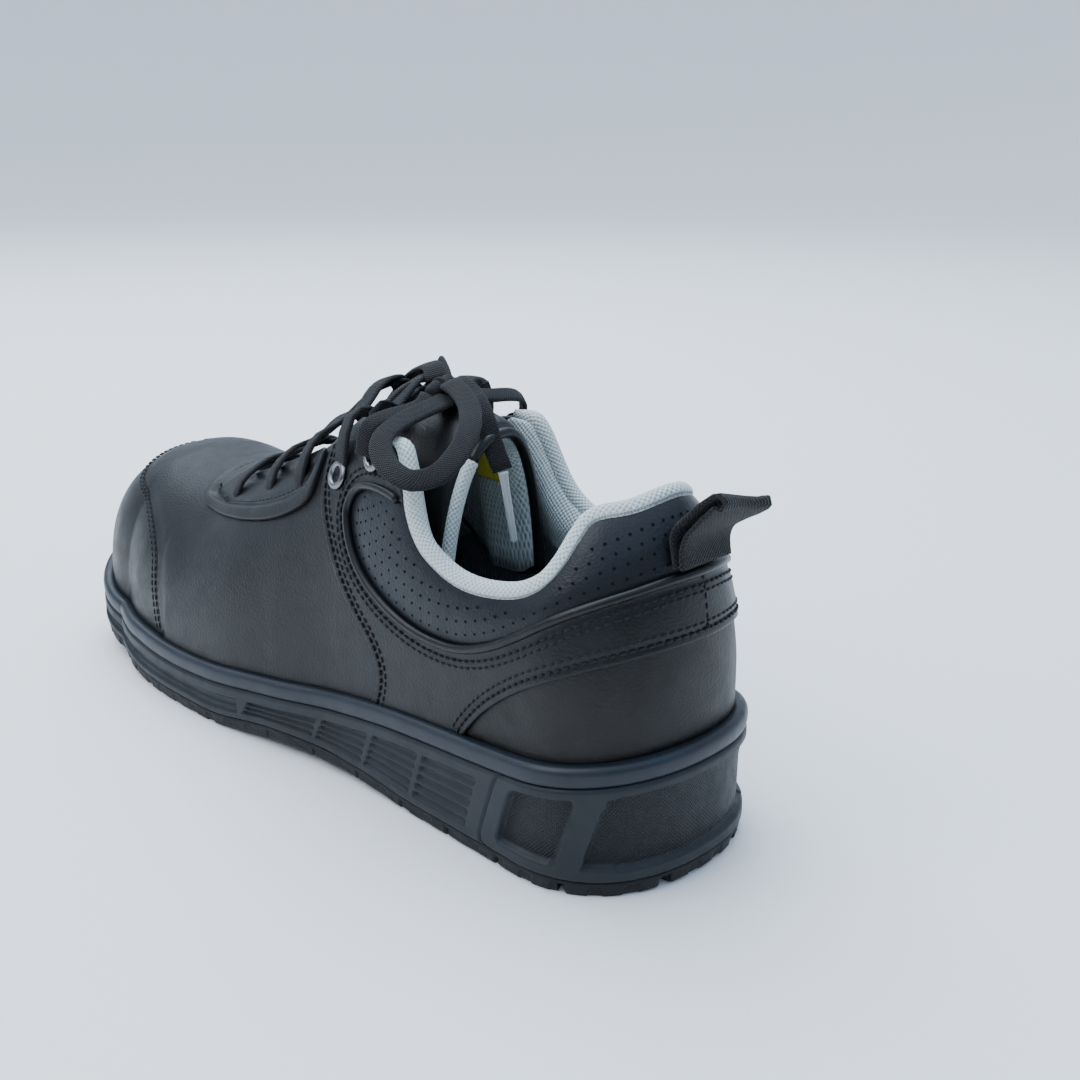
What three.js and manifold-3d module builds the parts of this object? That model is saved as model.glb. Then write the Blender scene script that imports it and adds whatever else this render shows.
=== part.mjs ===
// Low-cut safety shoe, left foot. Millimetres, +Z up, toe towards +Y, outer side towards -X.
import * as THREE from "three";
import Module from "manifold-3d";
const wasm = await Module();
wasm.setup();
const { Manifold, Mesh } = wasm;

// Driving sizes. The tables below hold shares of these.
const size = {
  length: 289, // upper at the feather line, heel to toe
  ball: 94, // upper across the ball of the foot
  instep: 106, // ground to the ridge of the instep
  wall: 2.2, // upper with its lining
  fit: 0.3, // air between two pieces
  padding: 6, // padded collar
  welt: 4.3, // sole standing proud of the upper
  rand: 6, // height of the bead at the top of the sole
  rubber: 4.5, // outsole
  heelReach: 31.4, // heel centre to the back
  toeReach: 47.4, // toe centre to the tip
  toeDrift: 4.4, // tip of the toe set over to the inner side
  heelCurve: 2.2, // how square the heel's plan is at the feather
  collarCurve: 1.7, // the same at the collar, where it is rounder
  collarSlim: 0.25, // share of its width that the heel loses towards the collar
};

// The form: half widths at the feather, then where the ridge runs, and how square the section is.
const FORM = {
  at: [-0.388, -0.311, -0.208, -0.104, 0, 0.104, 0.19, 0.277, 0.339],
  outer: [0.399, 0.399, 0.399, 0.41, 0.463, 0.511, 0.52, 0.503, 0.452],
  inner: [0.372, 0.362, 0.34, 0.33, 0.356, 0.426, 0.479, 0.493, 0.473],
  ridgeX: [0, 0.005, 0.021, 0.037, 0.053, 0.053, 0.043, 0.032, 0.032],
  ridgeZ: [1.066, 1.226, 1.396, 1.208, 1, 0.83, 0.731, 0.708, 0.717],
  square: [2.6, 2.6, 2.4, 2.3, 2.2, 2.15, 2.2, 2.4, 2.5],
};
// Sole: top of the rand, and the underside with its arch and toe spring.
const RAND = {
  at: [-0.519, -0.388, -0.208, 0, 0.173, 0.346, 0.519],
  z: [0.401, 0.342, 0.299, 0.232, 0.201, 0.226, 0.359],
};
const GROUND = {
  at: [-0.519, -0.457, -0.242, -0.138, -0.017, 0.114, 0.235, 0.311, 0.381, 0.45, 0.519],
  z: [0.014, 0, 0, 0.019, 0.028, 0, 0, 0.019, 0.047, 0.085, 0.132],
};
// Half width of the throat and of the tongue, as a share of the half section at that place.
const THROAT = {
  at: [-0.208, -0.159, -0.083, 0, 0.069, 0.152, 0.194, 0.208],
  share: [0.79, 0.754, 0.644, 0.557, 0.465, 0.357, 0.226, 0],
};
const TONGUE = {
  at: [-0.201, -0.156, -0.121, -0.069, -0.014, 0.069, 0.152, 0.19, 0.25],
  ridge: [1.08, 1.1, 1.1, 1.075, 0.985, 0.84, 0.736, 0.7, 0.68],
  share: [0.95, 0.95, 0.93, 0.88, 0.78, 0.66, 0.54, 0.48, 0.4],
  inset: [9.5, 9.4, 5.6, 3.4, 3.2, 3, 3, 3, 3],
  thick: [8, 9, 8, 6, 5, 4, 3.5, 3, 3],
  swell: [0, 0, 1, 4, 5, 4, 1.5, 0, 0],
};
// Seams in side view, written as [share of length, share of instep height]; both sides have the same.
const seam = (rows) => rows.map(([y, z]) => [y * size.length, z * size.instep]);
const TOPLINE = seam([
  [-0.519, 1.051], [-0.46, 1.049], [-0.452, 1.043], [-0.445, 1.031], [-0.439, 1.016],
  [-0.433, 1.004], [-0.425, 0.997], [-0.416, 0.991], [-0.407, 0.979], [-0.4, 0.96],
  [-0.397, 0.936], [-0.395, 0.908], [-0.393, 0.879], [-0.389, 0.849], [-0.381, 0.815],
  [-0.363, 0.783], [-0.325, 0.762], [-0.291, 0.764], [-0.263, 0.788], [-0.24, 0.825],
  [-0.225, 0.877], [-0.213, 0.949], [-0.199, 1.028], [-0.187, 1.057], [-0.159, 1.066],
]);
const PIPING = seam([
  [-0.505, 0.83], [-0.488, 0.826], [-0.476, 0.815], [-0.462, 0.794], [-0.441, 0.764],
  [-0.415, 0.723], [-0.377, 0.655], [-0.339, 0.598], [-0.298, 0.562], [-0.253, 0.556],
  [-0.215, 0.572], [-0.18, 0.606], [-0.152, 0.651], [-0.132, 0.704], [-0.118, 0.766],
  [-0.112, 0.821], [-0.118, 0.868], [-0.131, 0.896], [-0.149, 0.908], [-0.173, 0.911],
  [-0.197, 0.902], [-0.215, 0.887],
]);
const QUARTER_FRONT = seam([
  [-0.031, 1.179], [-0.043, 0.953], [-0.05, 0.894], [-0.062, 0.808], [-0.082, 0.716],
  [-0.108, 0.614], [-0.137, 0.527], [-0.163, 0.458], [-0.175, 0.389], [-0.17, 0.311],
  [-0.156, 0.245], [-0.145, 0.142],
]);
const STRAP_LOW = seam([
  [-0.291, 0.142], [-0.298, 0.264], [-0.306, 0.319], [-0.328, 0.396], [-0.349, 0.451],
  [-0.382, 0.518], [-0.417, 0.574], [-0.445, 0.612], [-0.475, 0.645], [-0.492, 0.66],
  [-0.526, 0.675],
]);
// Toe seam as [s, t] on the form, and the lace patch's edge as [share of length, share of the half section].
const TOE_SEAM = [
  [0.34, -0.02], [0.35, 0.176], [0.359, 0.327], [0.381, 0.467], [0.411, 0.567], [0.45, 0.69], [0.5, 0.775],
];
const PATCH = [
  [-0.104, 0.8], [-0.028, 0.79], [0.021, 0.782], [0.069, 0.75], [0.128, 0.697], [0.183, 0.63], [0.208, 0.595],
  [0.223, 0.5], [0.232, 0.3], [0.234, 0],
];
// Lace holes, likewise, with their kind.
const HOLES = [
  [0.1536, 0.565, "punched"], [0.0685, 0.625, "punched"], [0.0017, 0.69, "punched"],
  [-0.0827, 0.765, "metal"], [-0.1474, 0.79, "metal"],
].map(([at, share, kind]) => [at * size.length, share, kind]);

const clamp = (x, lo, hi) => Math.min(hi, Math.max(lo, x));
const mix = (a, b, t) => a + (b - a) * t;
const range = (n, f) => Array.from({ length: n }, (_, i) => f(i));

// Smooth reading of a table's column, without overshoot between its rows.
function read(xs, ys, x) {
  const n = xs.length, h = range(n - 1, (i) => xs[i + 1] - xs[i]);
  const d = h.map((w, i) => (ys[i + 1] - ys[i]) / w);
  const slope = (i) => {
    if (i === 0) return ((2 * h[0] + h[1]) * d[0] - h[0] * d[1]) / (h[0] + h[1]);
    if (i === n - 1)
      return ((2 * h[n - 2] + h[n - 3]) * d[n - 2] - h[n - 2] * d[n - 3]) / (h[n - 2] + h[n - 3]);
    if (d[i - 1] * d[i] <= 0) return 0;
    const a = 2 * h[i] + h[i - 1], b = h[i] + 2 * h[i - 1];
    return (a + b) / (a / d[i - 1] + b / d[i]);
  };
  const v = clamp(x, xs[0], xs[n - 1]);
  let i = 0;
  while (i < n - 2 && v > xs[i + 1]) i++;
  const t = (v - xs[i]) / h[i], m0 = slope(i) * h[i], m1 = slope(i + 1) * h[i];
  return ys[i] * (2 * t ** 3 - 3 * t ** 2 + 1) + m0 * (t ** 3 - 2 * t ** 2 + t) +
    ys[i + 1] * (3 * t ** 2 - 2 * t ** 3) + m1 * (t ** 3 - t ** 2);
}
const form = (key, y) => read(FORM.at, FORM[key], y / size.length);
const randTop = (y) => read(RAND.at, RAND.z, y / size.length) * size.instep;
const ground = (y) => Math.max(0, read(GROUND.at, GROUND.z, y / size.length)) * size.instep;
const tongueAt = (key, y) => read(TONGUE.at, TONGUE[key], y / size.length);

// A place on the form: s runs round the feather line from the back of the heel by the outer side to
// the toe (0.5) and back by the inner side; t runs from the feather (0) to the ridge (1).
const HEEL_END = 0.14, TOE_START = 0.8;
const BACK = FORM.at[0] * size.length, FRONT = FORM.at.at(-1) * size.length;
// The heel slims behind SLIM_FROM, in full SLIM_OVER further back, and from COLLAR_FROM upwards.
const SLIM_FROM = -0.242, SLIM_OVER = 0.138, COLLAR_FROM = 0.519;
function station(s, up = 0) {
  s = s - Math.floor(s);
  const side = s <= 0.5 ? -1 : 1, u = 2 * Math.min(s, 1 - s);
  const a = clamp(u / HEEL_END, 0, 1) * (Math.PI / 2);
  const b = clamp((u - TOE_START) / (1 - TOE_START), 0, 1) * (Math.PI / 2);
  const yb = mix(BACK, FRONT, clamp((u - HEEL_END) / (TOE_START - HEEL_END), 0, 1));
  const w = form(side < 0 ? "outer" : "inner", yb) * size.ball;
  const curve = mix(size.heelCurve, size.collarCurve, up);
  let x = side * w, y = yb;
  if (u < HEEL_END) {
    x *= Math.sin(a) ** (2 / curve);
    y -= size.heelReach * Math.max(Math.cos(a), 0) ** (2 / curve);
  } else if (u > TOE_START) {
    x = x * Math.max(Math.cos(b), 0) ** (2 / 2.25) + (3 + size.toeDrift) * Math.sin(b) ** 2;
    y += size.toeReach * Math.sin(b) ** (2 / 2.25);
  }
  x *= 1 - size.collarSlim * up ** 2 * clamp((SLIM_FROM * size.length - y) / (SLIM_OVER * size.length), 0, 1);
  const ridgeX = form("ridgeX", yb) * size.ball, ridgeZ = form("ridgeZ", yb) * size.instep;
  return { x, y, ridgeX, ridgeY: yb, ridgeZ, n: form("square", yb) };
}
function bare(s, t) {
  const foot = station(s), th = clamp(t, 0, 1) * (Math.PI / 2);
  const w = 1 - Math.max(Math.cos(th), 0) ** (2 / foot.n), h = Math.sin(th) ** (2 / foot.n);
  const z = mix(randTop(foot.y) - 2, foot.ridgeZ, h);
  const p = station(s, clamp(z / size.instep / COLLAR_FROM - 1, 0, 1));
  return new THREE.Vector3(mix(p.x, p.ridgeX, w), mix(p.y, p.ridgeY, w), z);
}
function normal(s, t) {
  if (t > 0.995) {
    const y = station(s).ridgeY, rise = (form("ridgeZ", y + 1) - form("ridgeZ", y - 1)) * size.instep / 2;
    return new THREE.Vector3(0, -rise, 1).normalize();
  }
  const e = 2e-3, k = clamp(t, e, 1 - e);
  const ds = bare(s + e, k).sub(bare(s - e, k)), dt = bare(s, k + e).sub(bare(s, k - e));
  const n = dt.cross(ds).normalize();
  if (t < 0.01) n.z = 0;
  return n.normalize();
}
const onForm = (s, t, off = 0) => bare(s, t).addScaledVector(normal(s, t), off);
const bodyS = (side, y) => {
  const u = mix(HEEL_END, TOE_START, clamp((y - BACK) / (FRONT - BACK), 0, 1)) / 2;
  return side < 0 ? u : 1 - u;
};
// Place on the form from y and the share of the half section, or from y and the height.
function byShare(side, y, share) {
  const n = form("square", y), th = Math.acos(clamp(Math.abs(share), 0, 1) ** (n / 2));
  return [bodyS(side, y), th / (Math.PI / 2)];
}
function byHeight(side, y, z) {
  const n = form("square", y), z0 = randTop(y) - 2;
  const h = clamp((z - z0) / (form("ridgeZ", y) * size.instep - z0), 0, 1);
  return [bodyS(side, y), Math.asin(h ** (n / 2)) / (Math.PI / 2)];
}
// The back of the heel at a height.
function heelAt(z) {
  let lo = 0, hi = 0.9;
  for (let k = 0; k < 30; k++) {
    const t = (lo + hi) / 2;
    if (bare(0, t).z < z) lo = t; else hi = t;
  }
  return bare(0, lo);
}
const stationsRound = () => {
  const heel = range(6, (i) => (HEEL_END * i) / 6), toe = range(8, (i) => mix(TOE_START, 1, i / 7));
  const half = [...heel, ...range(11, (i) => mix(HEEL_END, TOE_START, i / 11)), ...toe];
  return [...half.map((u) => u / 2), ...half.slice(1, -1).reverse().map((u) => 1 - u / 2)];
};
const ROUND = stationsRound();

// Solids from points and faces; points that meet are welded and flat faces dropped.
function solid(points, faces) {
  const seen = new Map(), xyz = [], id = points.map((p) => {
    const key = [p.x, p.y, p.z].map((v) => Math.round(v * 2000)).join();
    if (!seen.has(key)) { seen.set(key, xyz.length / 3); xyz.push(p.x, p.y, p.z); }
    return seen.get(key);
  });
  const tri = faces.map((f) => f.map((i) => id[i])).filter(([a, b, c]) => a !== b && b !== c && a !== c);
  const vertProperties = new Float32Array(xyz);
  const make = (list) =>
    new Manifold(new Mesh({ numProp: 3, vertProperties, triVerts: new Uint32Array(list.flat()) }));
  const first = make(tri);
  return first.volume() >= 0 ? first : make(tri.map(([a, b, c]) => [a, c, b]));
}
// Rows of points that close round; the caps join point i to point n-i, or run as a fan.
function skin(rows, cap = "strip") {
  const n = rows[0].length, faces = [], points = rows.flat();
  for (let j = 0; j < rows.length - 1; j++)
    for (let i = 0; i < n; i++) {
      const a = j * n + i, b = j * n + ((i + 1) % n);
      faces.push([a, b, b + n], [a, b + n, a + n]);
    }
  const close = (o, flip) => {
    const add = (a, b, c) => faces.push(flip ? [o + a, o + c, o + b] : [o + a, o + b, o + c]);
    if (cap === "fan") for (let i = 1; i < n - 1; i++) add(0, i, i + 1);
    else
      for (let i = 0; i < n / 2; i++) {
        const a = i, b = i + 1, c = (n - i - 1) % n, d = (n - i) % n;
        if (b !== c) add(a, b, c);
        if (a !== d) add(a, c, d);
      }
  };
  close(0, true);
  close((rows.length - 1) * n, false);
  return solid(points, faces);
}
const ROWS = 10;
const formSolid = (off, drop) => skin([
  ROUND.map((s) => { const p = onForm(s, 0, off); p.z -= drop; return p; }),
  ...range(ROWS + 1, (j) => ROUND.map((s) => onForm(s, j / ROWS, off))),
]);
const shell = (out, inn, drop = 4) => formSolid(out, drop).subtract(formSolid(inn, drop + 6));
// Straight prism from a flat outline; axis x for side-view outlines, z for plan outlines.
function prism(outline, axis, from, to) {
  const put = (a, b, k) => (axis === "x" ? new THREE.Vector3(k, a, b) : new THREE.Vector3(a, b, k));
  const shape = outline.map(([a, b]) => new THREE.Vector2(a, b)), n = shape.length;
  if (THREE.ShapeUtils.isClockWise(shape)) shape.reverse();
  const faces = [];
  for (const [a, b, c] of THREE.ShapeUtils.triangulateShape(shape, []))
    faces.push([c, b, a], [a + n, b + n, c + n]);
  for (let i = 0; i < n; i++) {
    const j = (i + 1) % n;
    faces.push([i, j, j + n], [i, j + n, i + n]);
  }
  return solid([...shape.map((p) => put(p.x, p.y, from)), ...shape.map((p) => put(p.x, p.y, to))], faces);
}
// A block on a surface: place(u, v, depth) gives its points.
function block(place, nu, nv, low, high) {
  const at = (u, v, k) => place(u / nu, v / nv, k), ring = [];
  for (let u = 0; u < nu; u++) ring.push([u, 0]);
  for (let v = 0; v < nv; v++) ring.push([nu, v]);
  for (let u = nu; u > 0; u--) ring.push([u, nv]);
  for (let v = nv; v > 0; v--) ring.push([0, v]);
  const points = [], faces = [], w = nv + 1, m = (nu + 1) * w;
  for (const k of [low, high])
    for (let u = 0; u <= nu; u++) for (let v = 0; v <= nv; v++) points.push(at(u, v, k));
  for (let u = 0; u < nu; u++)
    for (let v = 0; v < nv; v++) {
      const a = u * w + v, b = a + w;
      faces.push([a, b + 1, b], [a, a + 1, b + 1], [m + a, m + b, m + b + 1], [m + a, m + b + 1, m + a + 1]);
    }
  ring.forEach(([u, v], i) => {
    const [p, q] = ring[(i + 1) % ring.length], a = u * w + v, b = p * w + q;
    faces.push([a, b, m + b], [a, m + b, m + a]);
  });
  return solid(points, faces);
}
// A section swept along points; side and up give the section's axes at each point.
function sweep(points, section, frame) {
  const rows = points.map((p, i) => {
    const { side, up } = frame(i);
    return section.map(([a, b]) => p.clone().addScaledVector(side, a).addScaledVector(up, b));
  });
  return skin(rows, "fan");
}
const circle = (radius, n) => range(n, (i) => (2 * Math.PI * i) / n)
  .map((a) => [radius * Math.cos(a), radius * Math.sin(a)]);
const tangent = (pts, i) =>
  pts[Math.min(i + 1, pts.length - 1)].clone().sub(pts[Math.max(i - 1, 0)]).normalize();
function tube(pts, radius, n = 8) {
  let up = Math.abs(tangent(pts, 0).z) < 0.9 ? new THREE.Vector3(0, 0, 1) : new THREE.Vector3(1, 0, 0);
  return sweep(pts, circle(radius, n), (i) => {
    const t = tangent(pts, i), side = t.clone().cross(up).normalize();
    up = side.clone().cross(t).normalize();
    return { side, up };
  });
}
const smooth = (list, n) =>
  new THREE.CatmullRomCurve3(list.map((p) => new THREE.Vector3(...p)), false, "centripetal").getPoints(n);

// A side-view seam shifted along its own normal; positive goes to its left.
function shifted(line, by) {
  return line.map(([y, z], i) => {
    const [a, b] = line[Math.max(i - 1, 0)], [c, d] = line[Math.min(i + 1, line.length - 1)];
    const l = Math.hypot(c - a, d - b);
    return [y - ((d - b) / l) * by, z + ((c - a) / l) * by];
  });
}
// A side-view seam laid on the form, from the front of the outer side round the heel to the inner.
function laid(line, off) {
  const zs = line.filter(([y]) => y < BACK + 12).sort((a, b) => a[0] - b[0]);
  const height = (y) => {
    if (y <= zs[0][0]) return zs[0][1];
    const i = zs.findIndex(([v]) => v >= y);
    return i < 0 ? zs.at(-1)[1] : mix(zs[i - 1][1], zs[i][1], (y - zs[i - 1][0]) / (zs[i][0] - zs[i - 1][0]));
  };
  const heel = range(13, (i) => (HEEL_END * (12 - i)) / 24).map((s) => {
    let lo = 0, hi = 0.8;
    for (let k = 0; k < 30; k++) {
      const t = (lo + hi) / 2, p = bare(s, t);
      if (p.z < height(p.y)) lo = t; else hi = t;
    }
    return [s, lo];
  });
  const half = [...line.filter(([y]) => y > BACK + 1).reverse().map(([y, z]) => byHeight(-1, y, z)), ...heel];
  const back = half.slice(0, -1).reverse().map(([s, t]) => [1 - s, t]);
  return [...half, ...back].map(([s, t]) => onForm(s, t, off));
}

// Cutters, which run past the form on every side.
const PAST = 0.66 * size.length, LOW = 0.47 * size.instep, HIGH = 1.7 * size.instep, WIDE = 0.75 * size.ball;
const throatShape = (grow) => {
  const end = THROAT.at.at(-1) * size.length, ys = range(15, (i) => mix(-end, end, i / 14));
  const at = (side) => (y) => {
    const share = read(THROAT.at, THROAT.share, y / size.length);
    const ridge = form("ridgeX", y) * size.ball, w = form(side < 0 ? "outer" : "inner", y) * size.ball;
    return [ridge + side * (share * (w - side * ridge) + grow), y + (y > end - 1 ? grow : 0)];
  };
  return [...ys.map(at(-1)), ...ys.slice(0, -1).reverse().map(at(1))];
};
const throat = (grow) => prism(throatShape(grow), "z", LOW, HIGH);
const mouth = (down) => {
  const front = -0.138 * size.length, ends = [TOPLINE.at(-1)[1] - down, TOPLINE[0][1] - down];
  const over = [[front, ends[0]], [front, HIGH], [-PAST, HIGH], [-PAST, ends[1]]];
  return prism([...shifted(TOPLINE, -down), ...over], "x", -WIDE, WIDE);
};
const overSole = skin([-8, size.fit + 0.1].map((lift, k) => ROUND.map((s) => {
  const p = onForm(s, 0, 8);
  p.z = k ? randTop(onForm(s, 0, 0).y) + lift : lift;
  return p;
})));
const quarterShape = (grow) => {
  const back = [[-PAST, STRAP_LOW.at(-1)[1] - grow], [-PAST, PIPING[0][1] + 1.5]];
  const heel = -0.311 * size.length, edge = QUARTER_FRONT[0][0];
  const over = [[heel, 1.057 * size.instep], [heel, HIGH], [edge, HIGH]];
  const front = [...shifted(QUARTER_FRONT, grow), ...shifted(STRAP_LOW, grow)];
  return [...front, ...back, ...shifted(PIPING, grow - 1.9), ...over];
};
const quarterRegion = (grow) => prism(quarterShape(grow), "x", -WIDE, WIDE);
const behindFront = [[-0.208 * size.length, 0], [-PAST, 0], [-PAST, HIGH], [QUARTER_FRONT[0][0], HIGH]];
const aheadOfQuarter = prism([...shifted(QUARTER_FRONT, 0.4), ...behindFront], "x", -WIDE, WIDE);
const toeRegion = block((u, v, k) => {
  const s = mix(TOE_SEAM[0][0], 1 - TOE_SEAM[0][0], u), fold = Math.min(s, 1 - s);
  const top = read(TOE_SEAM.map((r) => r[0]), TOE_SEAM.map((r) => r[1]), fold);
  if (v === 0) { const p = onForm(s, 0, k); p.z -= 12; return p; }
  return onForm(s, Math.max(top, 0.004) * (v - 0.125) / 0.875, k);
}, 30, 8, -5, 6);
const patchSide = (side, grow) => PATCH.map(([at, share]) => {
  const y = at * size.length;
  const ridge = form("ridgeX", y) * size.ball, w = form(side < 0 ? "outer" : "inner", y) * size.ball;
  return [ridge + side * share * (w - side * ridge) * (1 + grow / 30), y + grow];
});
const patchRegion = prism([...patchSide(-1, 0), ...patchSide(1, 0).slice(0, -1).reverse()], "z", LOW, HIGH);
const holePlaces = HOLES.flatMap(([y, share, kind], row) => [-1, 1].map((side) => {
  const [s, t] = byShare(side, y, share);
  return { side, row, kind, s, t, n: normal(s, t) };
}));
const pinCutter = (h, radius, low, high) => {
  const g = new THREE.CylinderGeometry(radius, radius, high - low, 10, 1);
  g.translate(0, (high + low) / 2, 0);
  g.applyQuaternion(new THREE.Quaternion().setFromUnitVectors(new THREE.Vector3(0, 1, 0), h.n));
  const c = onForm(h.s, h.t);
  g.translate(c.x, c.y, c.z);
  return fromThree(g);
};
function fromThree(g) {
  const p = g.getAttribute("position"), index = g.index ? [...g.index.array] : range(p.count, (i) => i);
  const points = range(p.count, (i) => new THREE.Vector3().fromBufferAttribute(p, i));
  return solid(points, range(index.length / 3, (i) => index.slice(3 * i, 3 * i + 3)));
}
const holes = Manifold.union(holePlaces.map((h) => pinCutter(h, h.kind === "metal" ? 3 : 2, -6, 6)));

// Upper: the hollow shell with the toe, the counter and the collar panel at its own level.
const upper = shell(0, -size.wall).subtract(mouth(3.8)).subtract(throat(0)).subtract(holes);
const less = (body, ...cutters) => cutters.reduce((a, b) => a.subtract(b), body);
const vamp = less(shell(1.4, size.fit), overSole, aheadOfQuarter, toeRegion, throat(0.6), holes);
const quarterBand = shell(1.8, size.fit).intersect(quarterRegion(0));
const quarter = less(quarterBand, overSole, mouth(3.8), throat(0.6), holes);
const lacePatch = less(
  shell(2.8, 1.7).intersect(patchRegion), quarterRegion(0.4), aheadOfQuarter, throat(0.2), holes,
);
const piping = tube(laid(PIPING, 1.0), 1.5, 6).subtract(formSolid(size.fit, 4)).subtract(mouth(4.2));

// Padded collar: a lining inside the upper and a roll that stands over its edge.
const LINING_LOW = seam([[-0.159, 0.83], [-0.208, 0.623], [-0.291, 0.491], [-0.388, 0.528], [-0.588, 0.698]]);
const liningBand = prism([...shifted(TOPLINE, -2.6), ...LINING_LOW], "x", -WIDE, WIDE);
const roll = tube(laid(shifted(TOPLINE, -2.9), -2.7), 2.8);
const below = seam([[-0.104, 1.019], [-0.104, 0.189], [-0.657, 0.189], [-0.657, 1.02]]);
const underRoll = prism([...shifted(TOPLINE, -3.5), ...below], "x", -WIDE, WIDE);
const inside = -size.wall - size.fit, outOfUpper = formSolid(8, 4).subtract(formSolid(inside, 12));
const pad = shell(inside, inside - size.padding, 0).intersect(liningBand);
const lining = less(pad.add(roll), outOfUpper.intersect(underRoll), throat(0.6));

// Tongue: an arch under the throat, swelling between the eyelet facings.
function tonguePoint(y, v, depth) {
  const ridge = form("ridgeX", y) * size.ball, share = tongueAt("share", y) * v;
  const side = v < 0 ? -1 : 1, n = form("square", y);
  const w = form(side < 0 ? "outer" : "inner", y) * size.ball - tongueAt("inset", y) - depth;
  const top = tongueAt("ridge", y) * size.instep - depth, z0 = randTop(y) - 2;
  const open = Math.max(read(THROAT.at, THROAT.share, y / size.length), 0.02);
  const swell = depth ? 0 : tongueAt("swell", y) * Math.max(0, 1 - (share / open) ** 2) ** 1.5;
  const z = z0 + (top - z0) * (1 - Math.abs(share) ** n) ** (1 / n) + swell;
  return new THREE.Vector3(ridge + share * (w - side * ridge), y, z);
}
const TONGUE_ROWS = [0.249, 0.2, 0.159, 0.11, 0.062, 0.014, -0.035, -0.083, -0.131, -0.173, -0.194, -0.2007];
const tongue = block((u, v, k) => {
  const y = TONGUE_ROWS[Math.round(u * 11)] * size.length, edge = u > 0.99 ? 0.3 : u > 0.9 ? 0.08 : 0;
  const th = tongueAt("thick", y);
  return tonguePoint(y, mix(-1, 1, v), mix(0, th, k ? edge : 1 - edge));
}, 11, 10, 0, 1);
const label = block((u, v, k) => {
  const y = mix(-0.156, -0.198, u) * size.length;
  return tonguePoint(y, mix(0.18, 0.5, v), tongueAt("thick", y) + size.fit + k);
}, 2, 3, 0, 1);

// Sole. A ring at a height above the ground or below the rand top, standing out from the feather.
const soleRing = (zAt, out) => ROUND.map((s) => {
  const y = onForm(s, 0).y, p = onForm(s, 0, out);
  p.z = zAt(y);
  return p;
});
const fromTop = (d) => (y) => randTop(y) - d, fromFloor = (d) => (y) => ground(y) + d;
const wallPoint = (s, z, out) => { const p = onForm(s, 0, out); p.z = z; return p; };
const ribTop = (y) => randTop(y) - size.rand - 3.5, ribLow = (y) => ground(y) + size.rubber + 2.5;
// Slots between the side ribs: from and to along the foot, how many one above another.
const SLOTS = [
  { from: -0.329, to: -0.249, count: 5 }, { from: -0.24, to: -0.168, count: 5 },
  { from: -0.159, to: -0.083, count: 4 }, { from: -0.074, to: 0.035, count: 3 },
];
const slotsIn = (side, { from, to, count }) => range(count, (i) => block((u, v, k) => {
  const lean = (v - 0.5 + count / 2 - i) * -0.0038, y = mix(from + lean, to + lean * 0.2, u) * size.length;
  const pitch = (ribTop(y) - ribLow(y)) / count;
  return wallPoint(bodyS(side, y), ribLow(y) + pitch * (i + 0.2 + 0.62 * v), k);
}, 1, 1, size.welt - 1.1, size.welt + 4));
const slots = [-1, 1].flatMap((side) => SLOTS.flatMap((row) => slotsIn(side, row)));
const toeSlots = range(2, (i) => block((u, v, k) => {
  const start = 0.048 * size.length, s = mix(bodyS(-1, start), bodyS(1, start), u), y = onForm(s, 0).y;
  const pitch = (ribTop(y) - ribLow(y)) / 2;
  return wallPoint(s, ribLow(y) + pitch * (i + 0.25 + 0.4 * v), k);
}, 20, 1, size.welt - 1, size.welt + 4));
// Heel pockets as [s low, s high] at the foot and at the head, with their heights.
const heelPocket = (a, b, zl, zh, nu, mirror) => block((u, v, k) => {
  const s = mix(mix(a[0], b[0], v), mix(a[1], b[1], v), u), y = onForm(s, 0).y;
  return wallPoint(mirror ? 1 - s : s, mix(ground(y) + zl, randTop(y) - zh, v), k);
}, nu, 1, size.welt - 1.4, size.welt + 4);
const pockets = [
  heelPocket([0.056, 0.08], [0.05, 0.07], 8.5, 9.5, 3, false),
  heelPocket([0.056, 0.08], [0.05, 0.07], 8.5, 9.5, 3, true),
  heelPocket([-0.046, 0.046], [-0.036, 0.036], 9, 9.5, 8, false),
];
const bodyRings = [
  [fromFloor(size.rubber + size.fit), size.welt - 0.3], [fromFloor(size.rubber + 3), size.welt + 0.3],
  [fromTop(size.rand + 0.5), size.welt], [fromTop(size.rand), size.welt - 0.9],
  [fromTop(size.rand - 0.6), size.welt], [fromTop(2), size.welt + 0.2], [fromTop(0.6), size.welt - 0.8],
  [fromTop(0), size.welt - 2.2],
];
const sole = skin(bodyRings.map(([z, out]) => soleRing(z, out))).subtract(formSolid(size.fit, 4.3))
  .subtract(Manifold.union([...slots, ...toeSlots, ...pockets]));
// Outsole with its main lugs: notches round the edge and cross channels between.
const groove = (x, y, turn, long, wide, deep) => {
  const g = new THREE.BoxGeometry(long, wide, deep + 2);
  g.rotateZ(turn);
  g.translate(x, y, ground(y) + deep / 2 - 1);
  return fromThree(g);
};
const edgeNotches = range(30, (i) => {
  const s = (i + 0.5) / 30, p = onForm(s, 0, 2), n = normal(s, 0);
  return groove(p.x, p.y, Math.atan2(n.y, n.x), 18, 5, 3);
});
const CHANNELS = [-0.415, -0.349, -0.284, 0.062, 0.131, 0.201, 0.27, 0.339, 0.401];
const channels = CHANNELS.map((at) => at * size.length).flatMap((y) => [-1, 1].map((side) => {
  const w = form(side < 0 ? "outer" : "inner", clamp(y, BACK, FRONT)) * size.ball;
  return groove(2 + side * w * 0.3, y + 2, side * -0.35, w * 0.6, 5, 3);
}));
const treadRings = [[fromFloor(0), 3], [fromFloor(1.2), 3.9], [fromFloor(size.rubber), size.welt - 0.5]];
const outsole = skin(treadRings.map(([z, out]) => soleRing(z, out)))
  .subtract(Manifold.union([...edgeNotches, ...channels]));
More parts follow.
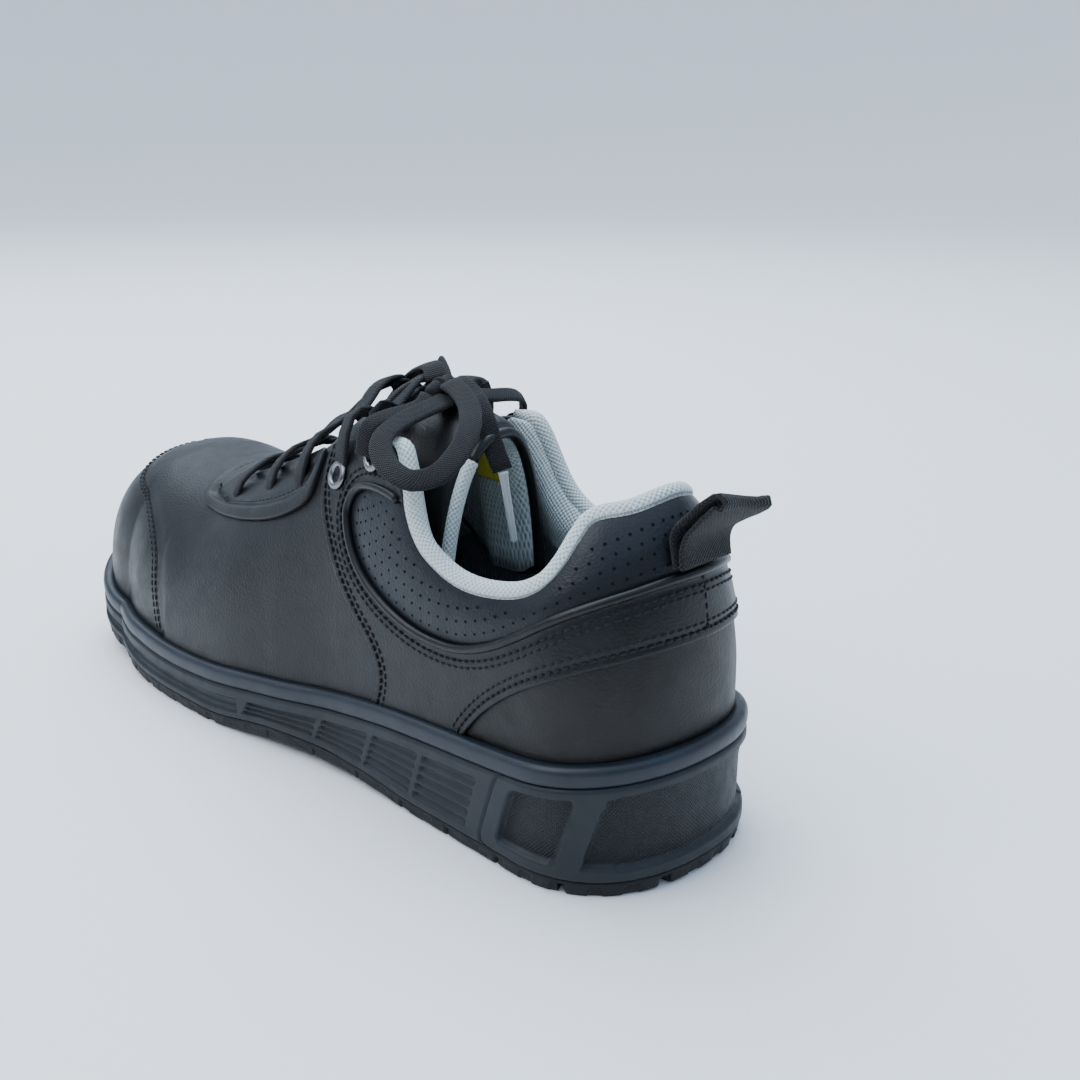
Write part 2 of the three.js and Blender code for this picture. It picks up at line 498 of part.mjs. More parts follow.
const insole = skin([[5.8, -3], [2.4, -3], [1.6, -3.6]].map(([d, off]) => soleRing(fromTop(d), off)));

// Eyelets, laces and the pull loop.
const RING = [
  [2.1, -2.4], [2.6, -2.4], [2.6, 2.1], [4.3, 2.1], [4, 3.1], [2.8, 3.3], [2.1, 2.4], [2.1, -2.4],
];
const eyelet = (h) => {
  const g = new THREE.LatheGeometry(RING.map(([r, z]) => new THREE.Vector2(r, z)), 10);
  g.applyQuaternion(new THREE.Quaternion().setFromUnitVectors(new THREE.Vector3(0, 1, 0), h.n));
  const c = onForm(h.s, h.t);
  g.translate(c.x, c.y, c.z);
  return fromThree(g);
};
// How far a place lies inside the throat: 0 at its edge, 1 well over the tongue.
const between = (y, share) =>
  THREE.MathUtils.smoothstep(read(THROAT.at, THROAT.share, y / size.length) - 0.04 - Math.abs(share), 0, 0.3);
// A point off the form at a share of the half section; between the facings it keeps to the tongue.
function overThroat(y, share, off) {
  const side = share < 0 ? -1 : 1, [s, t] = byShare(side, y, share), p = onForm(s, t, off);
  const k = between(y, share);
  const ridge = form("ridgeX", y) * size.ball;
  const w = form(side < 0 ? "outer" : "inner", y) * size.ball - tongueAt("inset", y);
  const own = clamp((p.x - ridge) / (w - side * ridge) / tongueAt("share", y), -0.72, 0.72);
  p.z = mix(p.z, Math.max(tonguePoint(y, own, 0).z + 2.3, p.z - 15) + off * 0.2, k);
  return p;
}
const flat = (wide, thick) =>
  [[-1, -1], [1, -1], [1, 1], [-1, 1]].map(([a, b]) => [(a * wide) / 2, (b * thick) / 2]);
function ribbon(pts, wide, thick, ups) {
  return sweep(pts, flat(wide, thick), (i) => {
    const t = tangent(pts, i), up = ups(i), side = t.clone().cross(up).normalize();
    return { side, up: side.clone().cross(t).normalize() };
  });
}
// Each strand rises from its hole, crosses the tongue and dives at the far edge of the throat.
const crossing = (from, to, seat) => {
  const at = range(8, (i) => [mix(from[0], to[0], i / 7), mix(from[1], to[1], i / 7), i / 7]);
  const rise = (k) => mix(seat, 3.2, k) + 1.6 * Math.sin(Math.PI * k);
  const pts = at.map(([y, share, k]) => overThroat(y, share, rise(k)));
  return ribbon(pts, 7, 1.5, (i) => {
    const [s, t] = byShare(at[i][1] < 0 ? -1 : 1, at[i][0], at[i][1]);
    const over = between(at[i][0], at[i][1]) * 0.8;
    return normal(s, t).lerp(new THREE.Vector3(0, 0.3, 1).normalize(), over).normalize();
  });
};
const facings = shell(3.2, -3).subtract(throat(0.2));
const laces = HOLES.slice(0, 4).map(([y, share, kind], i) => {
  const far = HOLES[i + 1][0] + (i > 2 ? 7 : 5), seat = kind === "metal" ? 4.5 : 4.1;
  const edge = read(THROAT.at, THROAT.share, far / size.length) - 0.16;
  const [one, other] = [-1, 1].map((k) => crossing([y, k * share], [far, -k * edge], seat));
  const both = one.add(other).subtract(facings);
  return both.decompose().reduce((a, b) => (b.volume() > a.volume() ? b : a));
});
const KNOT = [[-8, -40.5, 120], [-4, -40, 121.3], [1, -40.3, 121.3], [6, -42, 119.8]];
const climb = (side, knot, before) => {
  const [y, share] = HOLES[4];
  const out = overThroat(y, side * share, 5.6), edge = onForm(...byShare(side, y - 1, 0.73), 6);
  return tube(smooth([out.toArray(), edge.toArray(), before, knot], 10), 1.9, 6);
};
const cord = (list, n, radius = 2) => tube(smooth(list, n), radius, 6);
const END_OUTER = [
  [2, -44.2, 122.8], [2.2, -47.5, 121.4], [-0.5, -54.5, 118.9], [-3.2, -61, 114], [-3.8, -65, 107],
  [-3.8, -68.5, 101],
];
const END_INNER = [
  [7.6, -38.4, 120.8], [11, -35.8, 121.4], [17, -32, 120.4], [25, -27.5, 117], [31, -23, 109.5], [34, -19, 99],
  [35.5, -16.5, 89.5],
];
const LOOP_OUTER = [
  [-4.5, -44.1, 119.2], [-7, -45.6, 118.6], [-14, -46.6, 117.6], [-25, -47.5, 115.4], [-33.5, -50, 112.8],
  [-38.5, -55.5, 109.5], [-40.5, -63, 106.6], [-39.5, -69.5, 105], [-34, -73.2, 106], [-26, -72.8, 110],
  [-17, -68.5, 115.4], [-9.5, -60.5, 119.3], [-4.6, -51, 122], [-2.8, -44, 123.4],
];
const LOOP_INNER = [
  [-1.5, -36.5, 122.8], [1.5, -31.5, 126], [8, -19, 123.4], [14, -5, 116.6], [18.5, 6, 109.6], [21.5, 13, 104],
  [23.2, 12, 101.4], [23, 4, 105], [20.5, -7, 111.5], [16, -18, 119.4], [9.8, -27.6, 125], [3, -36.4, 121.8],
];
const cords = {
  lace_top_outer: climb(-1, [-8.4, -40.6, 119.8], [-12.5, -42, 117.6]),
  lace_top_inner: climb(1, [6.4, -42.2, 119.6], [10.5, -44, 117.8]),
  lace_knot: cord(KNOT, 6, 3),
  lace_loop_outer: cord(LOOP_OUTER, 22),
  lace_loop_inner: cord(LOOP_INNER, 22),
  lace_end_outer: cord(END_OUTER, 10, 1.9),
  lace_end_inner: cord(END_INNER, 12, 1.9),
};
// The clear tips carry on from the lace ends, a fit apart.
const aglet = (end, tip) => {
  const [a, b] = end.slice(-2).map((p) => new THREE.Vector3(...p)), way = b.clone().sub(a).normalize();
  return tube([b.addScaledVector(way, size.fit + 0.05), new THREE.Vector3(...tip)], 1.3);
};
const aglets = {
  aglet_outer: aglet(END_OUTER, [-3, -72.8, 79.5]),
  aglet_inner: aglet(END_INNER, [37, -14, 68]),
};
// The pull loop's webbing, doubled against the heel above the piping: [out, up] from where it starts.
const PULL = [
  [1.2, 0], [0.4, 4], [-0.3, 7.6], [0.8, 11], [6, 15.6], [11, 18.6], [13.6, 19.6], [14.6, 18.4], [12.4, 16],
  [8, 12.4], [4.2, 8.6], [3, 5], [3.6, 0],
];
const pullStart = heelAt(PIPING[0][1] + 2.1);
const pullPath = smooth(PULL.map(([out, up]) => [0, pullStart.y - out, pullStart.z + up]), 22);
const pullLoop = sweep(pullPath, flat(1.4, 21), (i) => {
  const twist = clamp((pullStart.y - 3 - pullPath[i].y) / 12, 0, 1) * 0.32;
  const t = tangent(pullPath, i), up = new THREE.Vector3(1, 0, -twist).normalize();
  return { side: t.clone().cross(up).normalize(), up };
}).subtract(formSolid(size.fit + 0.2, 4));

// The group: one mesh for each piece.
const colour = {
  upper: 0x24262b, mesh: 0xb9c4c2, sole: 0x2b3440, metal: 0xb5b8ba, lace: 0x17181c, label: 0xc9b400,
};
const group = new THREE.Group();
group.name = "safety_shoe";
// The frame's origin is under the middle of the shoe, pull loop counted and free laces not.
group.position.set(1.25, 1.75, 0);
function piece(name, body, tint) {
  const m = body.getMesh(), n = m.numProp, xyz = new Float32Array(m.numVert * 3);
  for (let i = 0; i < m.numVert; i++) xyz.set(m.vertProperties.subarray(i * n, i * n + 3), i * 3);
  const g = new THREE.BufferGeometry().setAttribute("position", new THREE.BufferAttribute(xyz, 3));
  g.setIndex(new THREE.BufferAttribute(m.triVerts, 1));
  g.computeVertexNormals();
  const mesh = new THREE.Mesh(g, new THREE.MeshStandardMaterial({ color: tint, flatShading: true }));
  mesh.name = name;
  group.add(mesh);
}
piece("upper", upper, colour.upper);
piece("vamp_overlay", vamp, colour.upper);
piece("quarter_overlay", quarter, colour.upper);
piece("lace_patch", lacePatch, colour.upper);
piece("collar_piping", piping, colour.upper);
piece("collar_lining", lining, colour.mesh);
piece("tongue", tongue, colour.mesh);
piece("tongue_label", label, colour.label);
piece("midsole", sole, colour.sole);
piece("outsole", outsole, colour.sole);
piece("insole", insole, colour.sole);
for (const h of holePlaces.filter((p) => p.kind === "metal"))
  piece(`eyelet_${h.side < 0 ? "outer" : "inner"}_${h.row - 2}`, eyelet(h), colour.metal);
laces.forEach((body, i) => piece(`lace_crossing_${i + 1}`, body, colour.lace));
for (const [name, body] of Object.entries(cords)) piece(name, body, colour.lace);
for (const [name, body] of Object.entries(aglets)) piece(name, body, colour.metal);
piece("pull_loop", pullLoop, colour.lace);
export default group;
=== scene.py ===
import math
import bmesh
import bpy
import numpy as np
from mathutils import Matrix, Vector


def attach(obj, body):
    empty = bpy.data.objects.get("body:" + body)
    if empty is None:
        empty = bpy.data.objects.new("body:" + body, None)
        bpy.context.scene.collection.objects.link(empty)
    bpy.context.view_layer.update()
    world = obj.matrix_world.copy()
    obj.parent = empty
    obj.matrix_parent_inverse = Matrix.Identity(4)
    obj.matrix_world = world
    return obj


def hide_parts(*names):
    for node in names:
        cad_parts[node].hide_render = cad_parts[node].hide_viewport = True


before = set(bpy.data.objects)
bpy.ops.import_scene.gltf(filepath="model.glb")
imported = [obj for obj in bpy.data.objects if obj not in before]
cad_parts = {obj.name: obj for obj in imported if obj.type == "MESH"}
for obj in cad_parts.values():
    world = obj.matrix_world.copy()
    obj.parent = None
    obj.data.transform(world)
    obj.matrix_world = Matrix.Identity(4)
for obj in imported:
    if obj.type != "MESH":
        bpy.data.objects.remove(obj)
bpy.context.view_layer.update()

# Shapes are worked out in millimetres in the last's own frame; SHIFT moves them to the part's frame.
SHIFT = np.array([1.25, 1.75, 0.0])


# Camera at the photo's angle: round the shoe, up, away, then the aim turned right and up, and rolled.
def make_camera(turn=-37.25, rise=19.89, away=437.06, focal=1245.26, right_by=7.59, up_by=1.19, roll=0.47):
    a, e = math.radians(turn), math.radians(rise)
    back = np.array([math.sin(a) * math.cos(e), -math.cos(a) * math.cos(e), math.sin(e)])
    spot = np.array([0, 0, 50.0]) + back * away
    right = np.cross(-back, [0, 0, 1])
    right /= np.linalg.norm(right)
    up = np.cross(right, -back)
    aim = -back + right * math.tan(math.radians(right_by)) + up * math.tan(math.radians(up_by))
    aim /= np.linalg.norm(aim)
    right = np.cross(aim, [0, 0, 1])
    right /= np.linalg.norm(right)
    up = np.cross(right, aim)
    r = math.radians(roll)
    right, up = right * math.cos(r) + up * math.sin(r), up * math.cos(r) - right * math.sin(r)
    cam = bpy.data.objects.new("camera", bpy.data.cameras.new("camera"))
    bpy.context.scene.collection.objects.link(cam)
    cam.data.sensor_width = 36
    cam.data.lens = focal / 1080 * 36
    cam.data.clip_start, cam.data.clip_end = 0.01, 20
    turnto = Matrix(np.array([right, up, -aim]).T.tolist()).to_4x4()
    cam.matrix_world = Matrix.Translation(Vector(((spot + SHIFT) / 1000).tolist())) @ turnto
    bpy.context.scene.camera = cam


make_camera()

# Driving sizes, as in the part's source: the upper's length, its width at the ball, the instep's height.
LENGTH, BALL, INSTEP = 289.0, 94.0, 106.0


def of(size, *shares):
    return [size * share for share in shares]


def seam(rows):
    return [[y * LENGTH, z * INSTEP] for y, z in rows]


# The last: half widths at the feather line, the ridge it rises to, and how square its sections are.
FORM = dict(
    y=of(LENGTH, -0.388, -0.311, -0.208, -0.104, 0, 0.104, 0.19, 0.277, 0.339),
    outer=of(BALL, 0.399, 0.399, 0.399, 0.41, 0.463, 0.511, 0.52, 0.503, 0.452),
    inner=of(BALL, 0.372, 0.362, 0.34, 0.33, 0.356, 0.426, 0.479, 0.493, 0.473),
    ridge_x=of(BALL, 0, 0.005, 0.021, 0.037, 0.053, 0.053, 0.043, 0.032, 0.032),
    ridge_z=of(INSTEP, 1.066, 1.226, 1.396, 1.208, 1, 0.83, 0.731, 0.708, 0.717),
    square=[2.6, 2.6, 2.4, 2.3, 2.2, 2.15, 2.2, 2.4, 2.5],
)
RAND = dict(y=of(LENGTH, -0.519, -0.388, -0.208, 0, 0.173, 0.346, 0.519),
            z=of(INSTEP, 0.401, 0.342, 0.299, 0.232, 0.201, 0.226, 0.359))
GROUND = dict(y=of(LENGTH, -0.519, -0.457, -0.242, -0.138, -0.017, 0.114, 0.235, 0.311, 0.381, 0.45, 0.519),
              z=of(INSTEP, 0.014, 0, 0, 0.019, 0.028, 0, 0, 0.019, 0.047, 0.085, 0.132))
THROAT = dict(y=of(LENGTH, -0.208, -0.159, -0.083, 0, 0.069, 0.152, 0.194, 0.208),
              share=[0.79, 0.754, 0.644, 0.557, 0.465, 0.357, 0.226, 0])
TONGUE = dict(
    y=of(LENGTH, -0.201, -0.156, -0.121, -0.069, -0.014, 0.069, 0.152, 0.19, 0.25),
    ridge=of(INSTEP, 1.08, 1.1, 1.1, 1.075, 0.985, 0.84, 0.736, 0.7, 0.68),
    share=[0.95, 0.95, 0.93, 0.88, 0.78, 0.66, 0.54, 0.48, 0.4],
    inset=[9.5, 9.4, 5.6, 3.4, 3.2, 3, 3, 3, 3],
    thick=[8, 9, 8, 6, 5, 4, 3.5, 3, 3],
    swell=[0, 0, 1, 4, 5, 4, 1.5, 0, 0],
)
# Seams in side view, as shares of the length and of the instep's height.
TOPLINE = seam([
    [-0.519, 1.051], [-0.46, 1.049], [-0.452, 1.043], [-0.445, 1.031], [-0.439, 1.016],
    [-0.433, 1.004], [-0.425, 0.997], [-0.416, 0.991], [-0.407, 0.979], [-0.4, 0.96],
    [-0.397, 0.936], [-0.395, 0.908], [-0.393, 0.879], [-0.389, 0.849], [-0.381, 0.815],
    [-0.363, 0.783], [-0.325, 0.762], [-0.291, 0.764], [-0.263, 0.788], [-0.24, 0.825],
    [-0.225, 0.877], [-0.213, 0.949], [-0.199, 1.028], [-0.187, 1.057], [-0.159, 1.066],
])
PIPING = seam([
    [-0.505, 0.83], [-0.488, 0.826], [-0.476, 0.815], [-0.462, 0.794], [-0.441, 0.764],
    [-0.415, 0.723], [-0.377, 0.655], [-0.339, 0.598], [-0.298, 0.562], [-0.253, 0.556],
    [-0.215, 0.572], [-0.18, 0.606], [-0.152, 0.651], [-0.132, 0.704], [-0.118, 0.766],
    [-0.112, 0.821], [-0.118, 0.868], [-0.131, 0.896], [-0.149, 0.908], [-0.173, 0.911],
    [-0.197, 0.902], [-0.215, 0.887],
])
QUARTER_FRONT = seam([
    [-0.031, 1.179], [-0.043, 0.953], [-0.05, 0.894], [-0.062, 0.808], [-0.082, 0.716],
    [-0.108, 0.614], [-0.137, 0.527], [-0.163, 0.458], [-0.175, 0.389], [-0.17, 0.311],
    [-0.156, 0.245], [-0.145, 0.142],
])
STRAP_LOW = seam([
    [-0.291, 0.142], [-0.298, 0.264], [-0.306, 0.319], [-0.328, 0.396], [-0.349, 0.451],
    [-0.382, 0.518], [-0.417, 0.574], [-0.445, 0.612], [-0.475, 0.645], [-0.492, 0.66],
    [-0.526, 0.675],
])
# Toe seam as [s, t] on the form. The lace patch's edge and the lace holes are [y, share of the half section].
TOE_SEAM = [
    [0.34, -0.02], [0.35, 0.176], [0.359, 0.327], [0.381, 0.467], [0.411, 0.567], [0.45, 0.69], [0.5, 0.775]]
PATCH = [[at * LENGTH, share] for at, share in (
    (-0.104, 0.8), (-0.028, 0.79), (0.021, 0.782), (0.069, 0.75), (0.128, 0.697), (0.183, 0.63),
    (0.208, 0.595), (0.223, 0.5), (0.232, 0.3), (0.234, 0))]
HOLES = [[at * LENGTH, share] for at, share in (
    (0.1536, 0.565), (0.0685, 0.625), (0.0017, 0.69), (-0.0827, 0.765), (-0.1474, 0.79))]
HEEL_END, TOE_START = 0.14, 0.8
HEEL_REACH, TOE_REACH, TOE_DRIFT = 31.4, 47.4, 4.4
# The heel's plan is rounder and slimmer at the collar: from where, over what length, and from what height.
HEEL_CURVE, COLLAR_CURVE, COLLAR_SLIM = 2.2, 1.7, 0.25
SLIM_FROM, SLIM_OVER, COLLAR_FROM = -0.242 * LENGTH, 0.138 * LENGTH, 0.519 * INSTEP
BACK, FRONT = FORM["y"][0], FORM["y"][-1]
WELT, RUBBER, RAND_HIGH = 4.3, 4.5, 6.0


def read(table, key, x):
    """Smooth curve through a table's column that never overshoots."""
    xs, ys = np.array(table["y"], float), np.array(table[key], float)
    x = np.clip(x, xs[0], xs[-1])
    h = np.diff(xs)
    d = np.diff(ys) / h
    m = np.zeros(len(xs))
    same = d[:-1] * d[1:] > 0
    w1, w2 = 2 * h[1:] + h[:-1], h[1:] + 2 * h[:-1]
    safe = np.where(d == 0, 1, d)
    m[1:-1] = np.where(same, (w1 + w2) / (w1 / safe[:-1] + w2 / safe[1:]), 0)
    m[0] = ((2 * h[0] + h[1]) * d[0] - h[0] * d[1]) / (h[0] + h[1])
    m[-1] = ((2 * h[-1] + h[-2]) * d[-1] - h[-1] * d[-2]) / (h[-1] + h[-2])
    i = np.clip(np.searchsorted(xs, x) - 1, 0, len(xs) - 2)
    t = (x - xs[i]) / h[i]
    return (ys[i] * (2 * t**3 - 3 * t**2 + 1) + h[i] * m[i] * (t**3 - 2 * t**2 + t)
            + ys[i + 1] * (3 * t**2 - 2 * t**3) + h[i] * m[i + 1] * (t**3 - t**2))


def rand_top(y):
    return read(RAND, "z", y)


def ground(y):
    return np.maximum(read(GROUND, "z", y), 0)


def station(s, up=0.0):
    """s runs round the feather line: 0 at the heel's back, the outer side, 0.5 at the toe, the inner side."""
    s = np.asarray(s, float) % 1
    side, u = np.where(s <= 0.5, -1, 1), 2 * np.minimum(s, 1 - s)
    a = np.clip(u / HEEL_END, 0, 1) * np.pi / 2
    b = np.clip((u - TOE_START) / (1 - TOE_START), 0, 1) * np.pi / 2
    yb = BACK + (FRONT - BACK) * np.clip((u - HEEL_END) / (TOE_START - HEEL_END), 0, 1)
    w = np.where(side < 0, read(FORM, "outer", yb), read(FORM, "inner", yb))
    heel, toe = u < HEEL_END, u > TOE_START
    curve = HEEL_CURVE + (COLLAR_CURVE - HEEL_CURVE) * up
    across = np.where(toe, np.maximum(np.cos(b), 0) ** (2 / 2.25), 1)
    x = side * w * np.where(heel, np.sin(a) ** (2 / curve), across)
    x = x + np.where(toe, (3 + TOE_DRIFT) * np.sin(b) ** 2, 0)
    y = np.where(heel, BACK - HEEL_REACH * np.maximum(np.cos(a), 0) ** (2 / curve),
                 np.where(toe, FRONT + TOE_REACH * np.sin(b) ** (2 / 2.25), yb))
    return x * (1 - COLLAR_SLIM * up**2 * np.clip((SLIM_FROM - y) / SLIM_OVER, 0, 1)), y, yb


def surface(s, t):
    """Point of the form; t runs from the feather line, 0, to the ridge, 1."""
    x, y, yb = station(s)
    th = np.clip(t, 0, 1) * np.pi / 2
    n = read(FORM, "square", yb)
    w, h = 1 - np.maximum(np.cos(th), 0) ** (2 / n), np.sin(th) ** (2 / n)
    z0 = rand_top(y) - 2
    z = z0 + (read(FORM, "ridge_z", yb) - z0) * h
    x, y, yb = station(s, np.clip(z / COLLAR_FROM - 1, 0, 1))
    return np.stack([x + (read(FORM, "ridge_x", yb) - x) * w, y + (yb - y) * w, z], -1)


def unit(v):
    return v / np.maximum(np.linalg.norm(v, axis=-1, keepdims=True), 1e-12)


def normal(s, t):
    e = 2e-3
    s, t = np.broadcast_arrays(np.asarray(s, float), np.asarray(t, float))
    k = np.clip(t, e, 1 - e)
    n = unit(np.cross(surface(s, k + e) - surface(s, k - e), surface(s + e, k) - surface(s - e, k)))
    n[..., 2] = np.where(t < 0.01, 0, n[..., 2])
    yb = station(s)[2]
    rise = (read(FORM, "ridge_z", yb + 1) - read(FORM, "ridge_z", yb - 1)) / 2
    top = np.stack([np.zeros_like(rise), -rise, np.ones_like(rise)], -1)
    return unit(np.where((t > 0.995)[..., None], top, n))


def on_form(s, t, off=0.0):
    return surface(s, t) + normal(s, t) * np.asarray(off, float)[..., None]


def body_s(side, y):
    u = HEEL_END + (TOE_START - HEEL_END) * np.clip((np.asarray(y, float) - BACK) / (FRONT - BACK), 0, 1)
    return np.where(np.asarray(side) < 0, u / 2, 1 - u / 2)


def by_share(side, y, share):
    n = read(FORM, "square", y)
    return body_s(side, y), np.arccos(np.clip(np.abs(share), 0, 1) ** (n / 2)) / (np.pi / 2)


def by_height(side, y, z):
    n, z0 = read(FORM, "square", y), rand_top(y) - 2
    h = np.clip((z - z0) / (read(FORM, "ridge_z", y) - z0), 0, 1)
    return body_s(side, y), np.arcsin(h ** (n / 2)) / (np.pi / 2)


def route(points, n):
    """A smooth line through the points, as n + 1 points."""
    p = np.array(points, float)
    p = np.vstack([2 * p[0] - p[1], p, 2 * p[-1] - p[-2]])
    out = []
    for k in np.arange(n + 1) / n * (len(points) - 1):
        i = min(int(k), len(points) - 2)
        f = k - i
        a, b, c, d = p[i:i + 4]
        q = [max(math.sqrt(np.linalg.norm(v - u)), 1e-4) for u, v in ((a, b), (b, c), (c, d))]
        m1 = ((b - a) / q[0] - (c - a) / (q[0] + q[1]) + (c - b) / q[1]) * q[1]
        m2 = ((c - b) / q[1] - (d - b) / (q[1] + q[2]) + (d - c) / q[2]) * q[1]
        out.append(b * (2 * f**3 - 3 * f**2 + 1) + c * (3 * f**2 - 2 * f**3)
                   + m1 * (f**3 - 2 * f**2 + f) + m2 * (f**3 - f**2))
    return np.array(out)


def even(path, step):
    """The same line with its points a step apart."""
    path = np.asarray(path, float)
    run = np.concatenate([[0], np.cumsum(np.linalg.norm(np.diff(path, axis=0), axis=1))])
    at = np.linspace(0, run[-1], max(int(round(run[-1] / step)), 1) + 1)
    return np.stack([np.interp(at, run, path[:, k]) for k in range(path.shape[1])], -1)


def signed(line, y, z):
    """Distance in mm to an open line, positive on its left."""
    line = np.asarray(line, float)
    best, sign = np.full(np.shape(y), 1e9), np.ones(np.shape(y))
    for (y0, z0), (y1, z1) in zip(line[:-1], line[1:]):
        dy, dz = y1 - y0, z1 - z0
        k = np.clip(((y - y0) * dy + (z - z0) * dz) / (dy * dy + dz * dz), 0, 1)
        d = np.hypot(y - y0 - k * dy, z - z0 - k * dz)
        side = np.sign(dy * (z - z0) - dz * (y - y0))
        near = d < best - 1e-9
        best, sign = np.where(near, d, best), np.where(near, side, sign)
    return best * np.where(sign == 0, 1, sign)


FINE = {name: route(line, 90) for name, line in dict(
    topline=TOPLINE, piping=PIPING, front=QUARTER_FRONT, strap=STRAP_LOW).items()}
TOE_LINE = np.array([[s, t] for s, t in route(TOE_SEAM, 60)])


def share_of(p):
    """How far a point lies across the half section, 0 at the ridge and 1 at the feather."""
    y = np.clip(p[..., 1], BACK, FRONT)
    ridge = read(FORM, "ridge_x", y)
    w = np.where(p[..., 0] < ridge, -read(FORM, "outer", y), read(FORM, "inner", y))
    return (p[..., 0] - ridge) / (w - ridge), np.abs(w - ridge)


# Regions of the upper: each is a distance in mm, positive inside.
def out_of_throat(p, s, t):
    share, w = share_of(p)
    d = np.where(p[..., 1] < -60, 30, (share - read(THROAT, "share", p[..., 1])) * w)
    return np.where(p[..., 1] > 60, np.hypot(np.maximum(p[..., 1] - 60, 0), np.maximum(-d, 0)), d)


def behind_front(p, s, t):
    return signed(FINE["front"], p[..., 1], p[..., 2]) * -1


def above_strap(p, s, t):
    return signed(FINE["strap"], p[..., 1], p[..., 2]) * -1


def under_topline(p, s, t):
    d = signed(FINE["topline"], p[..., 1], p[..., 2]) * -1
    return np.where(p[..., 1] > -46, 30, d)


def in_collar(p, s, t):
    return signed(FINE["piping"], p[..., 1], p[..., 2])


def ahead_of_toe_seam(p, s, t):
    fold = np.minimum(s % 1, 1 - s % 1)
    edge = np.interp(fold, TOE_LINE[:, 0], TOE_LINE[:, 1])
    e = 1e-3
    near = np.interp(fold + e, TOE_LINE[:, 0], TOE_LINE[:, 1])
    lean = (near - edge) / e
    across = 1 / np.hypot(lean / 640, 1 / 105)
    return np.where(fold < 0.34, -20, (edge - t) * across)


def in_patch(p, s, t):
    y = p[..., 1]
    share, _ = share_of(p)
    line = route([[r[1] * 46, r[0]] for r in PATCH], 60)
    d = signed(line, np.abs(share) * 46, y)
    return np.where(y > 67.6, -np.abs(y - 67.6) - np.abs(share) * 1e-3, d)


# Mesh helpers.
def face_out(mesh):
    """Turns the faces of a closed mesh outwards, and leaves an open one as it is."""
    work = bmesh.new()
    work.from_mesh(mesh)
    if all(len(e.link_faces) == 2 for e in work.edges):
        bmesh.ops.recalc_face_normals(work, faces=work.faces)
        work.to_mesh(mesh)
    work.free()


def new_object(name, verts, faces, mat, slot, replaces=(), uv=None, smooth=True, attributes=None):
    mesh = bpy.data.meshes.new(name)
    mesh.from_pydata(((np.asarray(verts) + SHIFT) / 1000).tolist(), [], faces)
    if uv is not None:
        layer = mesh.uv_layers.new(name="UVMap")
        index = np.empty(len(mesh.loops), int)
        mesh.loops.foreach_get("vertex_index", index)
        layer.data.foreach_set("uv", np.asarray(uv, float)[index].ravel())
    for key, value in (attributes or {}).items():
        mesh.attributes.new(key, "FLOAT", "POINT").data.foreach_set("value", np.asarray(value, float))
    mesh.polygons.foreach_set("use_smooth", [smooth] * len(mesh.polygons))
    mesh.materials.append(mat)
    mesh.validate()
    face_out(mesh)
    mesh.update()
    obj = bpy.data.objects.new(name, mesh)
    bpy.context.scene.collection.objects.link(obj)
    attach(obj, "root")
    if replaces:
        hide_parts(*replaces)
    return obj


def grid_faces(nu, nv, wrap_u=False, wrap_v=False, start=0):
    faces = []
    for i in range(nu if wrap_u else nu - 1):
        for j in range(nv if wrap_v else nv - 1):
            a, b = start + i * nv + j, start + ((i + 1) % nu) * nv + j
            c, d = start + ((i + 1) % nu) * nv + (j + 1) % nv, start + i * nv + (j + 1) % nv
            faces.append((a, b, c, d))
    return faces


def rim_of(nu, nv):
    """The numbers of a grid's border points, once round."""
    return ([i * nv for i in range(nu)] + [(nu - 1) * nv + j for j in range(1, nv)]
            + [i * nv + nv - 1 for i in range(nu - 2, -1, -1)] + list(range(nv - 2, 0, -1)))


def sweep_mesh(path, section, ups, taper=None):
    """Vertices, faces and uv (along, round, in mm) of a section carried along a path."""
    path, section = np.asarray(path, float), np.asarray(section, float)
    t = unit(np.gradient(path, axis=0))
    side = unit(np.cross(t, ups))
    up = np.cross(side, t)
    scale = np.ones(len(path)) if taper is None else taper
    verts = (path[:, None] + side[:, None] * (section[:, 0, None] * scale[:, None, None])
             + up[:, None] * (section[:, 1, None] * scale[:, None, None]))
    n, m = len(path), len(section)
    faces = [tuple(reversed(f)) for f in grid_faces(n, m, wrap_v=True)]
    faces += [tuple(range(m)), tuple(range((n - 1) * m, n * m))[::-1]]
    run = np.concatenate([[0], np.cumsum(np.linalg.norm(np.diff(path, axis=0), axis=1))])
    ring = np.concatenate([[0], np.cumsum(np.linalg.norm(np.diff(section, axis=0), axis=1))])
    uv = np.stack(np.broadcast_arrays(run[:, None], ring[None]), -1).reshape(-1, 2)
    return verts.reshape(-1, 3), faces, uv


def ups_along(path, first):
    """A direction across the path that turns as little as it can."""
    t = unit(np.gradient(np.asarray(path, float), axis=0))
    out, up = [], np.asarray(first, float)
    for k in t:
        up = up - k * np.dot(up, k)
        up = up / max(np.linalg.norm(up), 1e-9)
        out.append(up)
    return np.array(out)


def round_section(a, b, n):
    q = np.arange(n) / n * 2 * np.pi
    return np.stack([a * np.cos(q), b * np.sin(q)], -1)


def flat_section(wide, thick, n=5, camber=0.0):
    """A flat strap with rounded edges."""
    r = thick / 2
    q = np.linspace(-np.pi / 2, np.pi / 2, n)
    right = np.stack([wide / 2 - r + r * np.cos(q), r * np.sin(q)], -1)
    x = np.linspace(wide / 2 - r, -wide / 2 + r, 7)[1:-1]
    top = np.stack([x, np.full_like(x, r)], -1)
    pts = np.vstack([right, top, -right, np.stack([-x, np.full_like(x, -r)], -1)])
    pts[:, 1] += camber * (1 - (2 * pts[:, 0] / wide) ** 2)
    return pts


